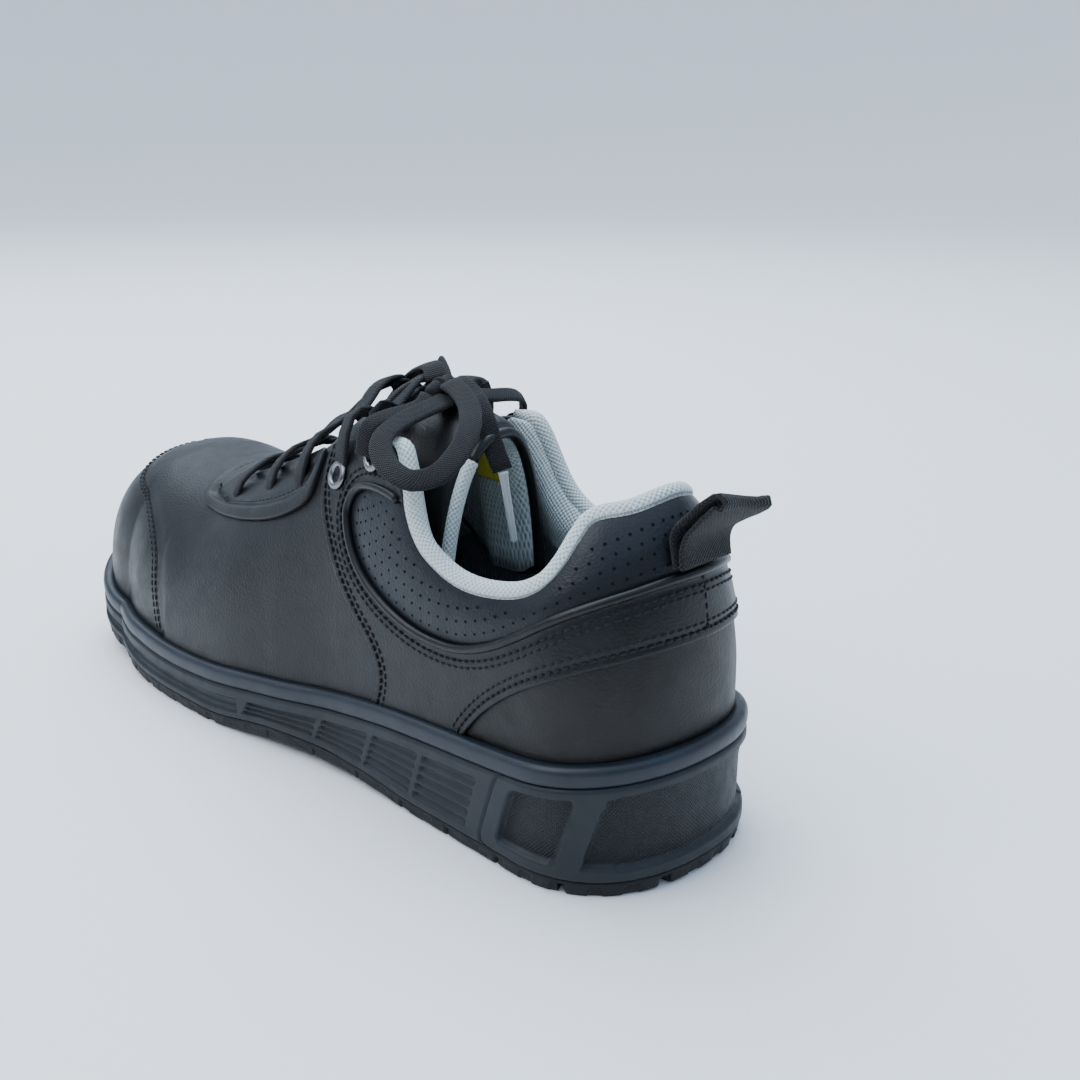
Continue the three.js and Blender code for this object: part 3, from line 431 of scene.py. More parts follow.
class Parts:
    """Several closed meshes gathered into one piece."""
    def __init__(self):
        self.v, self.f, self.uv, self.n = [], [], [], 0

    def add(self, verts, faces, uv=None):
        self.v.append(np.asarray(verts, float))
        self.f += [tuple(i + self.n for i in f) for f in faces]
        self.uv.append(np.zeros((len(verts), 2)) if uv is None else uv)
        self.n += len(verts)

    def make(self, name, mat, slot, replaces=(), **more):
        return new_object(name, np.vstack(self.v), self.f, mat, slot, replaces, uv=np.vstack(self.uv), **more)


def panel(name, field, top, mat, slot, spans, cells, thick=1.2, edge=0.35, replaces=()):
    """A piece of leather laid on the form: the part of it where field is positive, top mm over the form."""
    (s0, s1), (t0, t1) = spans
    ns, nt = cells
    S, T = np.meshgrid(np.linspace(s0, s1, ns), np.linspace(t0, t1, nt), indexing="ij")
    F = field(surface(S, T), S, T)
    # Grid points close to the border move onto it, so that no sliver is left.
    reach = np.full(F.shape, 0.36)
    move = np.zeros(F.shape + (2,))
    for axis in (0, 1):
        step = np.array([(s1 - s0) / (ns - 1), 0]) if axis == 0 else np.array([0, (t1 - t0) / (nt - 1)])
        for way in (1, -1):
            G = np.roll(F, -way, axis)
            cut = (F * G < 0)
            edge_row = -1 if way > 0 else 0
            cut[(edge_row, slice(None)) if axis == 0 else (slice(None), edge_row)] = False
            a = np.where(cut, F / np.where(F == G, 1, F - G), 1)
            near = cut & (a < reach)
            reach = np.where(near, a, reach)
            move = np.where(near[..., None], a[..., None] * step * way, move)
    on = reach < 0.36
    S, T = S + move[..., 0], T + move[..., 1]
    F = np.where(on, 0, F)
    st = [np.stack([S.ravel(), T.ravel()], -1)]
    made, extra = {}, []

    def crossing(a, b):
        key = (min(a, b), max(a, b))
        if key not in made:
            fa, fb = flat[a], flat[b]
            made[key] = ns * nt + len(extra)
            extra.append(st[0][a] + (st[0][b] - st[0][a]) * fa / (fa - fb))
        return made[key]

    flat = F.ravel()
    faces = []
    for i in range(ns - 1):
        row = F[i:i + 2]
        if row.max() <= 0:
            continue
        for j in range(nt - 1):
            ids = (i * nt + j, (i + 1) * nt + j, (i + 1) * nt + j + 1, i * nt + j + 1)
            f = [flat[k] for k in ids]
            if max(f) <= 0:
                continue
            if min(f) >= 0:
                faces.append(ids)
                continue
            poly = []
            for k in range(4):
                a, b = ids[k], ids[(k + 1) % 4]
                if flat[a] >= 0:
                    poly.append(a)
                if flat[a] * flat[b] < 0:
                    poly.append(crossing(a, b))
            if len(poly) > 2:
                faces.append(tuple(poly))
    st = np.vstack([st[0], np.array(extra).reshape(-1, 2)])
    p = surface(st[:, 0], st[:, 1])
    # Weld points that coincide, as on the ridge.
    _, first, back = np.unique(np.round(p, 3), axis=0, return_index=True, return_inverse=True)
    back = back.ravel()
    clean = []
    for f in faces:
        g = [back[k] for k in f]
        g = [k for i, k in enumerate(g) if k != g[i - 1]]
        if len(set(g)) > 2:
            clean.append(tuple(g))
    used = np.unique(np.concatenate([np.array(f) for f in clean]))
    new = np.full(len(first), -1)
    new[used] = np.arange(len(used))
    faces = [tuple(int(new[k]) for k in f)[::-1] for f in clean]
    st, p = st[first[used]], p[first[used]]
    n = np.zeros_like(p)
    for f in faces:
        q = p[list(f)]
        c = np.cross(q[1] - q[0], q[2] - q[0]) + (np.cross(q[2] - q[0], q[3] - q[0]) if len(f) > 3 else 0)
        n[list(f)] += c
    n = unit(n)
    inside = np.maximum(field(p, st[:, 0], st[:, 1]), 0)
    p = p + n * top(p, st[:, 0], st[:, 1], inside)[:, None]
    # A rounded rim down to the form.
    count = {}
    for f in faces:
        for a, b in zip(f, f[1:] + f[:1]):
            count[(a, b)] = count.get((a, b), 0) + 1
    border = [(a, b) for a, b in count if (b, a) not in count]
    out = np.zeros_like(p)
    for a, b in border:
        d = np.cross(p[b] - p[a], n[a] + n[b])
        out[a] += d
        out[b] += d
    rim = sorted({k for e in border for k in e})
    place = {k: i for i, k in enumerate(rim)}
    o, m = unit(out[rim]), n[rim]
    rings = [p[rim] + o * edge * math.sin(q) - m * edge * (1 - math.cos(q)) for q in (0.5, 1.05, 1.57)]
    rings.append(rings[-1] - m * (thick - edge))
    total = len(p)
    ids = [dict((k, k) for k in rim)]
    for k in range(len(rings)):
        ids.append({r: total + k * len(rim) + place[r] for r in rim})
    for low, high in zip(ids[:-1], ids[1:]):
        faces += [(b, a, high_a, high_b) for a, b in border for high_a, high_b in [(high[a], high[b])]
                  for a, b in [(low[a], low[b])]]
    verts = np.vstack([p] + rings)
    uv = np.vstack([st * [640, 105]] + [st[rim] * [640, 105]] * len(rings))
    return new_object(name, verts, faces, mat, slot, replaces, uv=uv)


def laid(line, shift=0.0):
    """Places [s, t] of a side-view seam, from its front on the outer side round the heel to the inner."""
    line = np.asarray(line, float)
    d = unit(np.gradient(line, axis=0))
    line = line + np.stack([-d[:, 1], d[:, 0]], -1) * shift
    tail = line[line[:, 0] < BACK + 12]
    tail = tail[np.argsort(tail[:, 0])]
    heel = []
    for s in np.linspace(HEEL_END / 2, 0, 22)[:-1]:
        t = np.linspace(0, 0.85, 400)
        p = surface(np.full_like(t, s), t)
        gap = p[:, 2] - np.interp(p[:, 1], tail[:, 0], tail[:, 1])
        heel.append([s, np.interp(0, gap, t)])
    t = np.linspace(0, 0.85, 400)
    p = surface(np.zeros_like(t), t)
    middle = [[0, np.interp(0, p[:, 2] - np.interp(p[:, 1], tail[:, 0], tail[:, 1]), t)]]
    body = line[line[:, 0] > BACK + 0.5][::-1]
    s, t = by_height(-1, body[:, 0], body[:, 1])
    half = np.vstack([np.stack([s, t], -1), heel])
    return np.vstack([half, middle, (half * [-1, 1])[::-1]])


def one_side(line, side, shift=0.0):
    line = np.asarray(line, float)
    d = unit(np.gradient(line, axis=0))
    line = line + np.stack([-d[:, 1], d[:, 0]], -1) * shift
    s, t = by_height(side, line[:, 0], line[:, 1])
    return np.stack([s, t], -1)


def stitch_row(parts, st, off, pitch=2.6, long=1.95, r=0.4):
    """Thread along a line of places [s, t], lying off mm over the form."""
    p, n = on_form(st[:, 0], st[:, 1], off), normal(st[:, 0], st[:, 1])
    both = even(np.hstack([p, n]), pitch)
    for a, b in zip(both[:-1], both[1:]):
        way = unit(b[:3] - a[:3])
        mid, up = (a[:3] + b[:3]) / 2, unit(a[3:] + b[3:])
        if under_topline(mid, 0, 0) < 5:
            continue
        q = np.linspace(-1, 1, 5)
        path = mid + way * (q[:, None] * long / 2) + up * (0.2 * (1 - q**4))[:, None] - up * 0.07
        v, f, uv = sweep_mesh(path, round_section(r, r * 0.8, 6), np.tile(up, (5, 1)),
                              taper=np.array([0.5, 1, 1, 1, 0.5]))
        parts.add(v, f, uv)


# Materials.
def nodes_of(name):
    mat = bpy.data.materials.new(name)
    mat.use_nodes = True
    tree = mat.node_tree
    return mat, tree, tree.nodes["Principled BSDF"]


def math_node(tree, op, a, b=None, clamp=False):
    n = tree.nodes.new("ShaderNodeMath")
    n.operation, n.use_clamp = op, clamp
    for k, v in enumerate((a, b)):
        if v is None:
            continue
        if isinstance(v, (int, float)):
            n.inputs[k].default_value = v
        else:
            tree.links.new(v, n.inputs[k])
    return n.outputs[0]


def noise(tree, scale, detail):
    c = tree.nodes.new("ShaderNodeTexCoord")
    n = tree.nodes.new("ShaderNodeTexNoise")
    n.inputs["Scale"].default_value, n.inputs["Detail"].default_value = scale, detail
    n.inputs["Roughness"].default_value = 0.55
    tree.links.new(c.outputs["Object"], n.inputs["Vector"])
    return n.outputs[0]


def ramp(tree, fac, stops):
    n = tree.nodes.new("ShaderNodeValToRGB")
    e = n.color_ramp.elements
    while len(e) < len(stops):
        e.new(0.5)
    for k, (at, col) in enumerate(stops):
        e[k].position = at
        e[k].color = (*col, 1) if len(col) == 3 else col
    tree.links.new(fac, n.inputs[0])
    return n.outputs[0]


def bump(tree, height, strength, distance, into, before=None):
    n = tree.nodes.new("ShaderNodeBump")
    n.inputs["Strength"].default_value, n.inputs["Distance"].default_value = strength, distance
    tree.links.new(height, n.inputs["Height"])
    if before is not None:
        tree.links.new(before, n.inputs["Normal"])
    tree.links.new(n.outputs[0], into.inputs["Normal"])
    return n.outputs[0]


def uv_parts(tree):
    c = tree.nodes.new("ShaderNodeTexCoord")
    x = tree.nodes.new("ShaderNodeSeparateXYZ")
    tree.links.new(c.outputs["UV"], x.inputs[0])
    return x.outputs[0], x.outputs[1]


def leather(name, dark, light, rough=0.42, grain=0.35):
    mat, tree, bsdf = nodes_of(name)
    broad = noise(tree, 38, 4)
    tree.links.new(ramp(tree, broad, [(0.35, dark), (0.7, light)]), bsdf.inputs["Base Color"])
    fine = noise(tree, 1500, 3)
    pores = tree.nodes.new("ShaderNodeTexVoronoi")
    pores.inputs["Scale"].default_value = 1150
    c = tree.nodes.new("ShaderNodeTexCoord")
    tree.links.new(c.outputs["Object"], pores.inputs["Vector"])
    mixed = math_node(tree, "ADD", math_node(tree, "MULTIPLY", fine, 0.6), pores.outputs["Distance"])
    bump(tree, mixed, grain, 0.0002, bsdf)
    tree.links.new(ramp(tree, noise(tree, 160, 5), [(0.3, (rough - 0.05,) * 3), (0.7, (rough + 0.07,) * 3)]),
                   bsdf.inputs["Roughness"])
    bsdf.inputs["Specular IOR Level"].default_value = 0.3
    return mat


def rubber(name, dark, light, rough=0.5, spec=0.36, pockets=False):
    mat, tree, bsdf = nodes_of(name)
    colour = ramp(tree, noise(tree, 60, 5), [(0.35, dark), (0.68, light)])
    first = None
    if pockets:
        # Pocket floors are darker, painted shade in the recesses, with a fine diagonal net.
        pocket_net_and_shade_mask = tree.nodes.new("ShaderNodeAttribute")
        pocket_net_and_shade_mask.attribute_name = "pocket"
        mixed = tree.nodes.new("ShaderNodeMixRGB")
        tree.links.new(pocket_net_and_shade_mask.outputs["Fac"], mixed.inputs[0])
        tree.links.new(colour, mixed.inputs[1])
        # Near-black colour for the pocket floors: painted shade.
        mixed.inputs[2].default_value = (0.0045, 0.006, 0.008, 1)
        colour = mixed.outputs[0]
        u, v = uv_parts(tree)
        a = math_node(tree, "SINE", math_node(tree, "MULTIPLY", math_node(tree, "ADD", u, v), 5.2))
        b = math_node(tree, "SINE", math_node(tree, "MULTIPLY", math_node(tree, "SUBTRACT", u, v), 5.2))
        net = math_node(tree, "MULTIPLY", math_node(tree, "MAXIMUM", a, b), pocket_net_and_shade_mask.outputs["Fac"])
        first = bump(tree, net, 0.45, 0.0004, bsdf)
    tree.links.new(colour, bsdf.inputs["Base Color"])
    tree.links.new(ramp(tree, noise(tree, 240, 4), [(0.3, (rough - 0.06,) * 3), (0.7, (rough + 0.08,) * 3)]),
                   bsdf.inputs["Roughness"])
    bump(tree, noise(tree, 2200, 2), 0.18, 0.0002, bsdf, first)
    bsdf.inputs["Specular IOR Level"].default_value = spec
    return mat


def cloth(name, dark, light, pitch_u, pitch_v, depth=0.5, rough=0.85, twill=0.0, sheen=0.2):
    """Woven or knitted: cells of pitch_u by pitch_v mm, in the piece's uv."""
    mat, tree, bsdf = nodes_of(name)
    u, v = uv_parts(tree)
    u2 = math_node(tree, "ADD", math_node(tree, "MULTIPLY", u, 2 * math.pi / pitch_u),
                   math_node(tree, "MULTIPLY", v, twill))
    a = math_node(tree, "SINE", u2)
    b = math_node(tree, "SINE", math_node(tree, "MULTIPLY", v, 2 * math.pi / pitch_v))
    cell = math_node(tree, "MULTIPLY", a, b)
    h = math_node(tree, "ADD", math_node(tree, "MULTIPLY", cell, 0.5), 0.5)
    worn = math_node(tree, "ADD", math_node(tree, "MULTIPLY", h, 0.75),
                     math_node(tree, "MULTIPLY", noise(tree, 700, 3), 0.35))
    tree.links.new(ramp(tree, worn, [(0.12, dark), (0.62, light)]), bsdf.inputs["Base Color"])
    bump(tree, worn, depth, 0.0006, bsdf)
    bsdf.inputs["Roughness"].default_value = rough
    bsdf.inputs["Specular IOR Level"].default_value = 0.25
    bsdf.inputs["Sheen Weight"].default_value = sheen
    bsdf.inputs["Sheen Roughness"].default_value = 0.5
    return mat


LEATHER = leather("black_leather", (0.0045, 0.0046, 0.005), (0.009, 0.0092, 0.0098), 0.4)
HEEL_LEATHER = leather("heel_leather", (0.006, 0.005, 0.0045), (0.011, 0.0092, 0.0083), 0.46)
COLLAR_LEATHER = leather("collar_leather", (0.005, 0.0065, 0.009), (0.01, 0.0125, 0.017), 0.38)
BINDING = leather("binding", (0.004, 0.0042, 0.005), (0.008, 0.0085, 0.01), 0.34, 0.2)
THREAD = cloth("thread", (0.002, 0.002, 0.0024), (0.008, 0.0085, 0.01), 0.5, 0.9, 0.3, 0.6, 0.0, 0.05)
# Near-black for the perforation discs: painted shade of the punched holes' depth.
HOLE_SHADE = rubber("punched_hole_shade", (0.003, 0.003, 0.003), (0.004, 0.004, 0.004), 0.8, 0.1)
MESH = cloth("mesh_lining", (0.3, 0.345, 0.345), (0.66, 0.73, 0.71), 1.6, 1.6, 0.9)
# A darker ribbed copy of the mesh lining for the lower collar pad: painted shade.
SHADED_MESH = cloth("lining_painted_shade", (0.05, 0.06, 0.068), (0.17, 0.19, 0.205), 1.5, 40, 0.8)
SOLE = rubber("sole_rubber", (0.006, 0.0085, 0.0115), (0.0105, 0.0145, 0.019), 0.5, pockets=True)
RAND_RUBBER = rubber("rand_rubber", (0.008, 0.0115, 0.017), (0.013, 0.019, 0.027), 0.4)
TREAD = rubber("tread_rubber", (0.003, 0.0035, 0.004), (0.006, 0.0068, 0.0078), 0.6)
LACE = cloth("lace", (0.002, 0.002, 0.0024), (0.011, 0.0108, 0.012), 0.9, 1.1, 0.8, 0.8, 1.2, 0.06)
WEBBING = cloth("webbing", (0.002, 0.002, 0.0024), (0.013, 0.0125, 0.0125), 1.2, 1.4, 0.9, 0.75, 0.0, 0.06)
FELT = cloth("insole_felt", (0.03, 0.034, 0.038), (0.07, 0.075, 0.08), 1.4, 1.4, 0.4)
YELLOW = cloth("yellow_tab", (0.42, 0.36, 0.01), (0.75, 0.66, 0.03), 0.7, 0.7, 0.4, 0.7)


def plain(name, colour, rough, **more):
    mat, tree, bsdf = nodes_of(name)
    bsdf.inputs["Base Color"].default_value = (*colour, 1)
    tree.links.new(ramp(tree, noise(tree, 300, 3), [(0.3, (rough * 0.8,) * 3), (0.7, (rough * 1.25,) * 3)]),
                   bsdf.inputs["Roughness"])
    for key, value in more.items():
        bsdf.inputs[key.replace("_", " ")].default_value = value
    return mat


NICKEL = plain("nickel", (0.2, 0.2, 0.205), 0.28, Metallic=1.0)
CLEAR = plain("clear_tip", (0.72, 0.74, 0.76), 0.12, Transmission_Weight=0.55, IOR=1.46)

# Laces first: routes as in the part's source.
KNOT = [[-8, -40.5, 120], [-4, -40, 121.3], [1, -40.3, 121.3], [6, -42, 119.8]]
END_OUTER = [
    [2, -44.2, 122.8], [2.2, -47.5, 121.4], [-0.5, -54.5, 118.9], [-3.2, -61, 114], [-3.8, -65, 107],
    [-3.8, -68.5, 101]]
END_INNER = [
    [7.6, -38.4, 120.8], [11, -35.8, 121.4], [17, -32, 120.4], [25, -27.5, 117], [31, -23, 109.5],
    [34, -19, 99], [35.5, -16.5, 89.5]]
LOOP_OUTER = [
    [-4.5, -44.1, 119.2], [-7, -45.6, 118.6], [-14, -46.6, 117.6], [-25, -47.5, 115.4], [-33.5, -50, 112.8],
    [-38.5, -55.5, 109.5], [-40.5, -63, 106.6], [-39.5, -69.5, 105], [-34, -73.2, 106], [-26, -72.8, 110],
    [-17, -68.5, 115.4], [-9.5, -60.5, 119.3], [-4.6, -51, 122], [-2.8, -44, 123.4]]
LOOP_INNER = [
    [-1.5, -36.5, 122.8], [1.5, -31.5, 126], [8, -19, 123.4], [14, -5, 116.6], [18.5, 6, 109.6],
    [21.5, 13, 104], [23.2, 12, 101.4], [23, 4, 105], [20.5, -7, 111.5], [16, -18, 119.4],
    [9.8, -27.6, 125], [3, -36.4, 121.8]]
# The pull loop's path, as [out, up] from where it starts on the heel.
PULL = [[1.2, 0], [0.4, 4], [-0.3, 7.6], [0.8, 11], [6, 15.6], [11, 18.6], [13.6, 19.6], [14.6, 18.4],
        [12.4, 16], [8, 12.4], [4.2, 8.6], [3, 5], [3.6, 0]]


def tongue_point(y, v, depth):
    ridge, share = read(FORM, "ridge_x", y), read(TONGUE, "share", y) * v
    w = np.where(v < 0, read(FORM, "outer", y), read(FORM, "inner", y)) - read(TONGUE, "inset", y) - depth
    side = np.where(v < 0, -1, 1)
    top, z0, n = read(TONGUE, "ridge", y) - depth, rand_top(y) - 2, read(FORM, "square", y)
    open_ = np.maximum(read(THROAT, "share", y), 0.02)
    swell = np.where(depth == 0, read(TONGUE, "swell", y) * np.maximum(0, 1 - (share / open_) ** 2) ** 1.5, 0)
    return np.stack([ridge + share * (w - side * ridge), y + 0 * v,
                     z0 + (top - z0) * (1 - np.abs(share) ** n) ** (1 / n) + swell], -1)


def between(y, share):
    k = np.clip((read(THROAT, "share", y) - 0.04 - np.abs(share)) / 0.3, 0, 1)
    return k * k * (3 - 2 * k)


def over_throat(y, share, off):
    side = np.where(share < 0, -1, 1)
    s, t = by_share(side, y, share)
    p, k = on_form(s, t, off), between(y, share)
    ridge = read(FORM, "ridge_x", y)
    w = np.where(side < 0, read(FORM, "outer", y), read(FORM, "inner", y)) - read(TONGUE, "inset", y)
    own = np.clip((p[..., 0] - ridge) / (w - side * ridge) / read(TONGUE, "share", y), -0.72, 0.72)
    high = np.maximum(tongue_point(y, own, np.zeros_like(y))[..., 2] + 2.3, p[..., 2] - 15) + off * 0.2
    p[..., 2] = p[..., 2] + (high - p[..., 2]) * k
    return p


LACE_WIDE = 7.2


def ribbon(path, ups, wide=LACE_WIDE, thick=1.5):
    return sweep_mesh(path, flat_section(wide, thick, camber=0.25), ups)


def cross_over(a, b, seat, step=24, sunk=0.0):
    """A strand from one hole over the tongue to the far edge; the ends dive under."""
    k = np.linspace(0, 1, step)
    y, share = a[0] + (b[0] - a[0]) * k, a[1] + (b[1] - a[1]) * k
    lift = seat + (3.2 - seat) * k + 1.6 * np.sin(np.pi * k) - sunk * np.maximum(0, 1 - k * 9) ** 1.5
    p = over_throat(y, share, lift)
    s, t = by_share(np.where(share < 0, -1, 1), y, share)
    tilt = between(y, share)[:, None] * 0.8
    return p, unit(normal(s, t) * (1 - tilt) + unit(np.array([0, 0.3, 1.0])) * tilt)


def make_laces():
    for i, (y, share) in enumerate(HOLES[:4]):
        far = HOLES[i + 1][0] + (7 if i > 2 else 5)
        edge = float(read(THROAT, "share", far)) - 0.12
        seat = 4.5 if i > 2 else 4.1
        parts = Parts()
        for side in (1, -1):
            path, ups = cross_over([y, -side * share], [far, side * edge], seat, sunk=3.5)
            if side < 0:
                path = path + np.array([0, 0, 1.5]) * np.sin(np.linspace(0, np.pi, len(path)))[:, None]
            parts.add(*ribbon(path, ups))
        parts.make(f"lace_strand_{i + 1}", LACE, "lace_cloth", [f"lace_crossing_{i + 1}"])


def lace_cord(name, points, first_up, nodes, wide=LACE_WIDE,
              spin=None):
    path = even(route(points, 120), 2.2)
    ups = ups_along(path, first_up)
    if spin is not None:
        t = unit(np.gradient(path, axis=0))
        k = np.linspace(0, 1, len(path))
        angle = np.radians(np.interp(k, np.linspace(0, 1, len(spin)), spin))[:, None]
        ups = ups * np.cos(angle) + np.cross(t, ups) * np.sin(angle)
    v, f, uv = ribbon(path, ups, wide)
    obj = new_object(name, v, f, LACE, "lace_cloth", nodes, uv=uv)
    return obj


make_laces()


def make_knot():
    parts = Parts()
    path = even(route(KNOT, 40), 1.2)
    bulge = 1 - 0.35 * np.abs(np.linspace(-1, 1, len(path))) ** 3
    parts.add(*sweep_mesh(path, round_section(3.1, 2.7, 18), ups_along(path, [0, 0, 1]), taper=bulge))
    middle = np.mean(KNOT, axis=0)
    for turn, lean in ((0.0, 0.15), (0.9, -0.4)):
        q = np.linspace(0, 2 * np.pi, 33)[:-1]
        ring = np.stack([np.sin(q) * lean * 3.6 + turn * 2 - 1, np.cos(q) * 3.7, np.sin(q) * 3.5], -1)
        ring = middle + ring
        out = unit(ring - middle - [turn * 2 - 1, 0, 0])
        t = unit(np.roll(ring, -1, 0) - np.roll(ring, 1, 0))
        side = unit(np.cross(t, out))
        sec = flat_section(4.6, 1.2)
        v = ring[:, None] + side[:, None] * sec[:, 0, None] + out[:, None] * sec[:, 1, None]
        f = [tuple(reversed(x)) for x in grid_faces(len(ring), len(sec), True, True)]
        along = np.linspace(0, 23, len(ring))
        uv = np.stack(np.broadcast_arrays(along[:, None], sec[None, :, 0]), -1).reshape(-1, 2)
        parts.add(v.reshape(-1, 3), f, uv)
    return parts.make("lace_knot_wrapped", LACE, "lace_cloth", ["lace_knot"])


knot = make_knot()
# Tops, knot, bow and ends. A cord's places are those of its plain tube in the CAD.
TOPS = {"outer": (-1, [[-12.5, -42, 117.6], [-8.4, -40.6, 119.8]]),
        "inner": (1, [[10.5, -44, 117.8], [6.4, -42.2, 119.6]])}
for which, (side, ends) in TOPS.items():
    y, share = HOLES[4]
    start = over_throat(np.array([y]), np.array([side * share]), 5.6)[0]
    s, t = by_share(side, y - 1, 0.73)
    lace_cord(f"flat_top_{which}", [start, on_form(s, t, 6.0), *ends], [0.2 * side, -0.2, 1],
              [f"lace_top_{which}"], wide=5.4)
for which, points, up, spin in (("outer", LOOP_OUTER, [0, -0.3, 1], [0, 0, 10, 30, 20, 10, 0]),
                                ("inner", LOOP_INNER, [0, 0.3, 1], [0, 0, 20, 30, 10, 0, 0])):
    lace_cord(f"flat_loop_{which}", points, up, [f"lace_loop_{which}"], wide=6.8, spin=spin)
for which, points, up, tip in (("outer", END_OUTER, [0, -0.5, 1], [-3, -72.8, 79.5]),
                               ("inner", END_INNER, [0, 0, 1], [37, -14, 68])):
    way = unit(np.array(points[-1], float) - np.array(points[-2], float))
    start = np.array(points[-1], float) + way * 0.35
    path = even(np.array([start, tip], float), 1.0)
    k = np.linspace(0, 1, len(path))
    v, f, uv = sweep_mesh(path, round_section(1.25, 1.25, 14), ups_along(path, [1, 0, 0]),
                          taper=1 - 0.12 * k + 0.25 * np.exp(-(k * 9) ** 2))
    tip_obj = new_object(f"lace_tip_{which}", v, f, CLEAR, "lace_tip", [f"aglet_{which}"], uv=uv)
    points = [[1, -40.5, 121.2], *points]
    lace_cord(f"flat_end_{which}", points, up, [f"lace_end_{which}"], wide=6.4)


# The upper's leather, panel by panel.
def groove(d, at, wide, deep):
    return -deep * np.exp(-((d - at) / wide) ** 2)


def make_upper():
    def vamp(p, s, t):
        d = np.minimum(-ahead_of_toe_seam(p, s, t) - 0.3, -behind_front(p, s, t) - 0.2)
        return np.minimum(d, out_of_throat(p, s, t) - 0.6)

    def vamp_top(p, s, t, d):
        return 1.35 - 0.35 * np.exp(-(np.maximum(-ahead_of_toe_seam(p, s, t), 0) / 5) ** 4)

    def quarter(p, s, t):
        d = np.minimum(behind_front(p, s, t), above_strap(p, s, t))
        d = np.minimum(d, -in_collar(p, s, t) - 0.4)
        return np.minimum(np.minimum(d, out_of_throat(p, s, t) - 0.6), under_topline(p, s, t) - 3.7)

    def collar(p, s, t):
        return np.minimum(in_collar(p, s, t) + 1.2, under_topline(p, s, t) - 3.4)

    def heel(p, s, t):
        return np.minimum(-above_strap(p, s, t) + 3, 20.0)

    def patch(p, s, t):
        a, b = in_patch(p, s, t), -behind_front(p, s, t) - 0.4
        d = -3 * np.logaddexp(-a / 3, -(b - 2) / 3)
        return np.minimum(d, out_of_throat(p, s, t) - 0.3)

    panel("toe_leather", ahead_of_toe_seam, lambda p, s, t, d: 0.35 + groove(d, 1.2, 0.6, 0.2), LEATHER,
          "black_upper", ((0.335, 0.665), (0.0, 0.8)), (300, 90), replaces=["upper"], thick=1.5)
    panel("vamp_leather", vamp, vamp_top, LEATHER, "black_upper", ((0.15, 0.85), (0.0, 1.0)), (460, 100),
          replaces=["vamp_overlay"], thick=1.5)
    panel("quarter_leather", quarter, lambda p, s, t, d: 1.75 + groove(d, 2.0, 0.9, 0.35), LEATHER,
          "black_upper", ((-0.28, 0.28), (0.0, 0.8)), (420, 100), replaces=["quarter_overlay"], thick=1.8,
          edge=0.5)
    panel("collar_leather", collar, lambda p, s, t, d: 0.3 + 1.5 * (1 - np.exp(-d / 5)), COLLAR_LEATHER,
          "black_upper", ((-0.2, 0.2), (0.1, 0.7)), (300, 80), thick=2.0)
    panel("heel_leather", heel, lambda p, s, t, d: 0.4 + 0 * d, HEEL_LEATHER, "black_upper",
          ((-0.13, 0.13), (0.0, 0.35)), (200, 50), thick=1.0)
    panel("patch_leather", patch, lambda p, s, t, d: 1.9 + 1.2 * np.exp(-(np.maximum(d - 1.2, 0) / 1.1) ** 4)
          + groove(d, 3.6, 0.6, 0.35), LEATHER, "black_upper",
          ((0.19, 0.81), (0.35, 1.0)), (410, 110), replaces=["lace_patch"], thick=1.4, edge=0.6)


make_upper()


def make_piping():
    path_st = laid(FINE["piping"])
    path_st = path_st[under_topline(surface(path_st[:, 0], path_st[:, 1]), 0, 0) > 5.2]
    off = 1.7 + 0 * path_st[:, 0]
    path = even(on_form(path_st[:, 0], path_st[:, 1], off), 1.4)
    v, f, uv = sweep_mesh(path, round_section(1.35, 1.35, 14), ups_along(path, [0, 0, 1]))
    new_object("collar_bead", v, f, BINDING, "black_upper", ["collar_piping"], uv=uv)


make_piping()


def make_roll():
    st = laid(FINE["topline"], -2.5)
    path = even(on_form(st[:, 0], st[:, 1], -1.2 + 0 * st[:, 0]), 1.4)
    ends = np.minimum(np.arange(len(path)), np.arange(len(path))[::-1]) * 1.4
    v, f, uv = sweep_mesh(path, round_section(2.75, 2.75, 24), ups_along(path, [0, 0, 1]),
                          taper=np.clip(0.5 + ends / 16, 0, 1))
    obj = new_object("collar_roll", v, f, MESH, "mesh_lining", ["collar_lining"], uv=uv)


make_roll()


def make_lining():
    """The pad inside the collar: light mesh above, and below it a darker ribbed copy, painted shade deep in
    the shoe.
    """
    S, H = np.meshgrid(np.linspace(-0.225, 0.225, 260), np.linspace(0, 1, 50), indexing="ij")
    top = laid(FINE["topline"], -2.6)
    order = np.argsort(top[:, 0])
    tt = np.interp(S, top[order, 0], top[order, 1])
    t0 = 0.10
    T = t0 + (tt - t0) * H
    fade = np.clip((0.222 - np.abs(S)) / 0.06, 0, 1)
    depth = 3.2 + 5.3 * np.sin(np.clip(H, 0, 1) ** 1.6 * np.pi * 0.93) ** 0.8 * fade
    p = on_form(S, T, -depth)
    run = np.cumsum(np.concatenate([[0], np.linalg.norm(np.diff(p[:, 30], axis=0), axis=1)]))
    up = np.cumsum(np.concatenate([np.zeros((len(S), 1)), np.linalg.norm(np.diff(p, axis=1), axis=2)], 1), 1)
    uv = np.stack([np.broadcast_to(run[:, None], up.shape), up], -1)
    nu, nv = S.shape
    for name, mat, low, high in (("lining_mesh", MESH, 17, nv), ("lining_lower", SHADED_MESH, 0, 18)):
        q, w = p[:, low:high], uv[:, low:high]
        m = q.shape[1]
        back = q + 0.9 * normal(S, T)[:, low:high]
        faces = grid_faces(nu, m) + [tuple(reversed(f)) for f in grid_faces(nu, m, start=nu * m)]
        ring = rim_of(nu, m)
        faces += [(a, b, b + nu * m, a + nu * m)[::-1] for a, b in zip(ring, ring[1:] + ring[:1])]
        new_object(name, np.vstack([q.reshape(-1, 3), back.reshape(-1, 3)]), faces, mat, "mesh_lining",
                   uv=np.vstack([w.reshape(-1, 2)] * 2))


make_lining()


